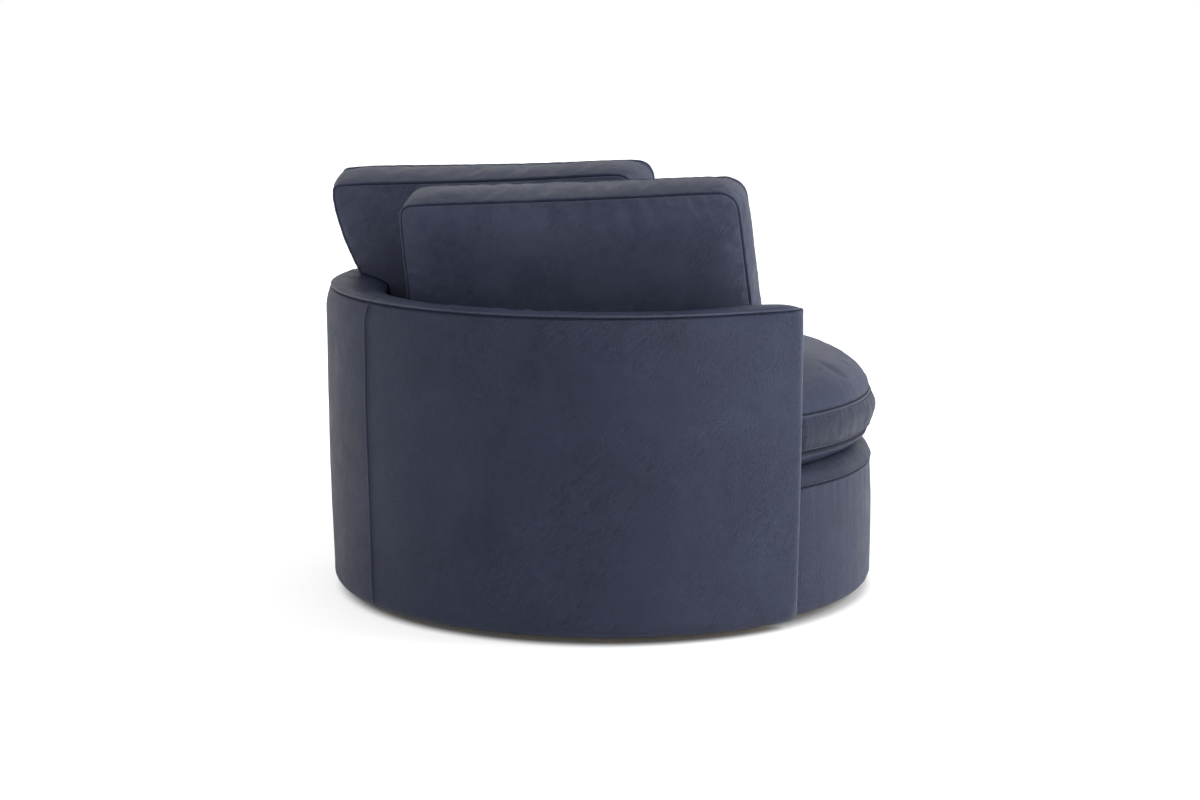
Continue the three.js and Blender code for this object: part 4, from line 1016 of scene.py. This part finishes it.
def seatSurface(s, spacing, close):
    outline = seatOutline(s)
    length = lengthOf(outline)
    count = int(length / (spacing * s["around"]))
    along = np.linspace(0, length, count, endpoint=False)
    rim = spaced(outline, along)
    tangent = np.roll(rim, -1, 0) - np.roll(rim, 1, 0)
    outward = unit(np.stack([tangent[:, 1], -tangent[:, 0]], axis=1))
    angle = np.arctan2(rim[:, 0], -rim[:, 1])
    mean = (s["seam"] + s["rearSeam"]) / 2
    circle = polar(np.full(count, mean), angle, 0 * angle)[:, :2]
    nearest = s["nearest"] if len(close) > 1 else []
    inwards = np.arange(close[-1] + spacing, mean - 12, spacing)
    distances = np.concatenate([nearest, close, inwards, [mean - 8]])
    middle = (s["upper"] + s["lower"]) / 2
    half = (s["upper"] - s["lower"]) / 2
    drop = s["lower"] - s["bottom"]

    def ringAt(distance):
        rho = 1 - distance / mean
        weight = smooth(0.5, 1.0, rho)
        return rho * ((1 - weight) * circle + weight * rim)

    def topAt(distance):
        flat = ringAt(distance)
        crown = s["crown"] * (1 - (1 - s["rearCrown"]) * smooth(s["easeStart"], s["easeEnd"], flat[:, 1]))
        dome = max(1 - (1 - distance / mean) ** s["flatness"], 0) ** s["round"]
        return np.column_stack([flat, s["upper"] + crown * dome])

    def underAt(distance):
        share = min(distance / s["inset"], 1)
        height = s["lower"] - drop * math.sqrt(1 - (1 - share) ** 2)
        return np.column_stack([ringAt(distance), np.full(count, height)])

    through = graded(half * 2, spacing, close)
    band = [np.column_stack([rim + outward * s["bulge"] * (1 - (1 - place / half) ** 2),
                             np.full(count, middle + half - place)]) for place in through]
    top = [topAt(d) for d in distances[::-1]]
    under = [underAt(d) for d in distances]
    centres = [np.mean(top[0], axis=0)[None], np.mean(under[-1], axis=0)[None]]
    rings = top + band + under
    rows = len(rings)
    index = np.arange(count)
    beside = (index + 1) % count
    last = rows * count
    fans = [np.stack([index, beside, np.full(count, last)], axis=1),
            np.stack([beside, index, np.full(count, last + 1)], axis=1) + [last - count, last - count, 0]]
    rise = np.linalg.norm(np.diff([band[0], *top[::-1]], axis=0), axis=2)
    onBand = np.repeat(np.minimum(through, half * 2 - through), count).reshape(-1, count)
    onUnder = np.repeat(distances, count).reshape(-1, count)
    fromSeam = np.concatenate([np.cumsum(rise, axis=0)[::-1], onBand, onUnder])
    boxing = np.repeat([0.0, 1.0, 0.0], [len(top), len(band), len(under)])
    side = np.repeat([0.0, 5000.0, 9000.0], [len(top), len(band), len(under)])
    first = len(top)
    return {
        "points": np.concatenate(rings + centres),
        "faces": [gridFaces(rows, count, closed=True)[:, ::-1], np.concatenate(fans)],
        "fromSeam": np.append(fromSeam.ravel(), [mean, mean]),
        "along": np.append((along[None] + side[:, None]).ravel(), [0, 0]),
        "boxing": np.append(np.repeat(boxing, count), [0, 0]),
        "rings": [(first + k) * count + index for k in range(len(band))],
        "places": through,
    }


def makeSeatCushion(s):
    surface = swollen(lambda spacing, close: seatSurface(s, spacing, close), s)
    d, along = surface["fromSeam"], surface["along"]
    fine = noise(laidFlat(along, d * 0.08), 7, 91) * fading(d, 60) * smooth(1, 9, d)
    patchy = 0.35 + 0.65 * smooth(-0.3, 0.4, noise(laidFlat(along, 0 * d), 90, 93))
    points = surface["points"]
    lift = fine * patchy * 0.5
    points[:, 2] += lift * (1 - surface["boxing"])
    points[:, :2] *= (1 + lift * surface["boxing"] / 550)[:, None]
    nodes = ("seat_cushion_cover", "seat_cushion_core")
    finishCushion("seat_cushion", surface, points, s["seed"], s, nodes)


makeSeatCushion(seat)
print("seat cushion made")

# Floor and light
floorLook = {  # distances from the chair's axis are in metres
    "size": 14.0, "colour": (0.8, 0.8, 0.8, 1), "inGloss": 0.35,
    # under is the near black glow of a painted contact shadow beneath the chair's foot
    "under": (0.02, 0.02, 0.02), "shadowEdge": (0.54, 0.585), "near": (0.6, 0.6, 0.6),
    "toFar": (0.6, 2.6), "far": (0.9, 0.9, 0.9),
}


def makeFloor(f):
    size = f["size"]
    mesh = bpy.data.meshes.new("floor")
    corners = [(-size, -size, 0), (size, -size, 0), (size, size, 0), (-size, size, 0)]
    mesh.from_pydata(corners, [], [(0, 1, 2, 3)])
    floor = bpy.data.objects.new("floor", mesh)
    scene.collection.objects.link(floor)
    r = Recipe("pale_floor")
    seen = r.add("LightPath") + r.add("LightPath", output=3) * f["inGloss"]
    spread = r.add("VectorMath", {0: r.add("TexCoord", output=3)}, 1, operation="LENGTH")
    glow = r.mix(r.window(spread, *f["toFar"]), f["near"], f["far"])
    # painted contact shadow: the glow drops to near black under the chair's foot
    glow = r.mix(r.window(spread, *f["shadowEdge"]), f["under"], glow)
    plain = r.add("BsdfDiffuse", {"Color": f["colour"]})
    lit = r.add("AddShader", {0: plain, 1: r.add("Emission", {"Color": glow})})
    surface = r.add("MixShader", {0: seen.sum("MINIMUM", 1.0), 1: plain, 2: lit})
    r.add("OutputMaterial", {"Surface": surface})
    mesh.materials.append(r.owner)


def makeWorld(strength):  # an even white room, seen as pure white
    scene.world = bpy.data.worlds.new("studio")
    r = Recipe(scene.world)
    seen = r.add("LightPath")
    light, white = [r.add("Background", {"Color": (1, 1, 1, 1), "Strength": s}) for s in (strength, 1.0)]
    mixed = r.add("MixShader", {0: seen, 1: light, 2: white})
    r.add("OutputWorld", {"Surface": mixed})


def makeLamp(name, place, aim, size, power):
    data = bpy.data.lights.new(name, "AREA")
    data.shape = "RECTANGLE"
    data.size, data.size_y = size
    data.energy = power
    lamp = bpy.data.objects.new(name, data)
    lamp.location = place
    lamp.rotation_euler = (Vector(aim) - Vector(place)).to_track_quat("-Z", "Y").to_euler()
    lamp.visible_camera = False
    scene.collection.objects.link(lamp)


right = Vector((-0.589, -0.808, 0))  # to the picture's right
near = Vector((-0.808, 0.589, 0))  # towards the camera
up = Vector((0, 0, 1))
lamps = {
    "key": (right * 3.2 + near * 0.5 + up * 1.7, (2.0, 2.4), 92),
    "backdrop": (near * -3.4 + up * 1.9, (5.0, 2.6), 16),
    "fill": (near * 3.6 + up * 0.9, (3.4, 1.4), 2),
}
makeFloor(floorLook)
makeWorld(0.63)
for lampName, (place, size, power) in lamps.items():
    makeLamp(lampName, place, (0, 0, 0.45), size, power)
scene.view_settings.view_transform = "Standard"
print("floor and light made")
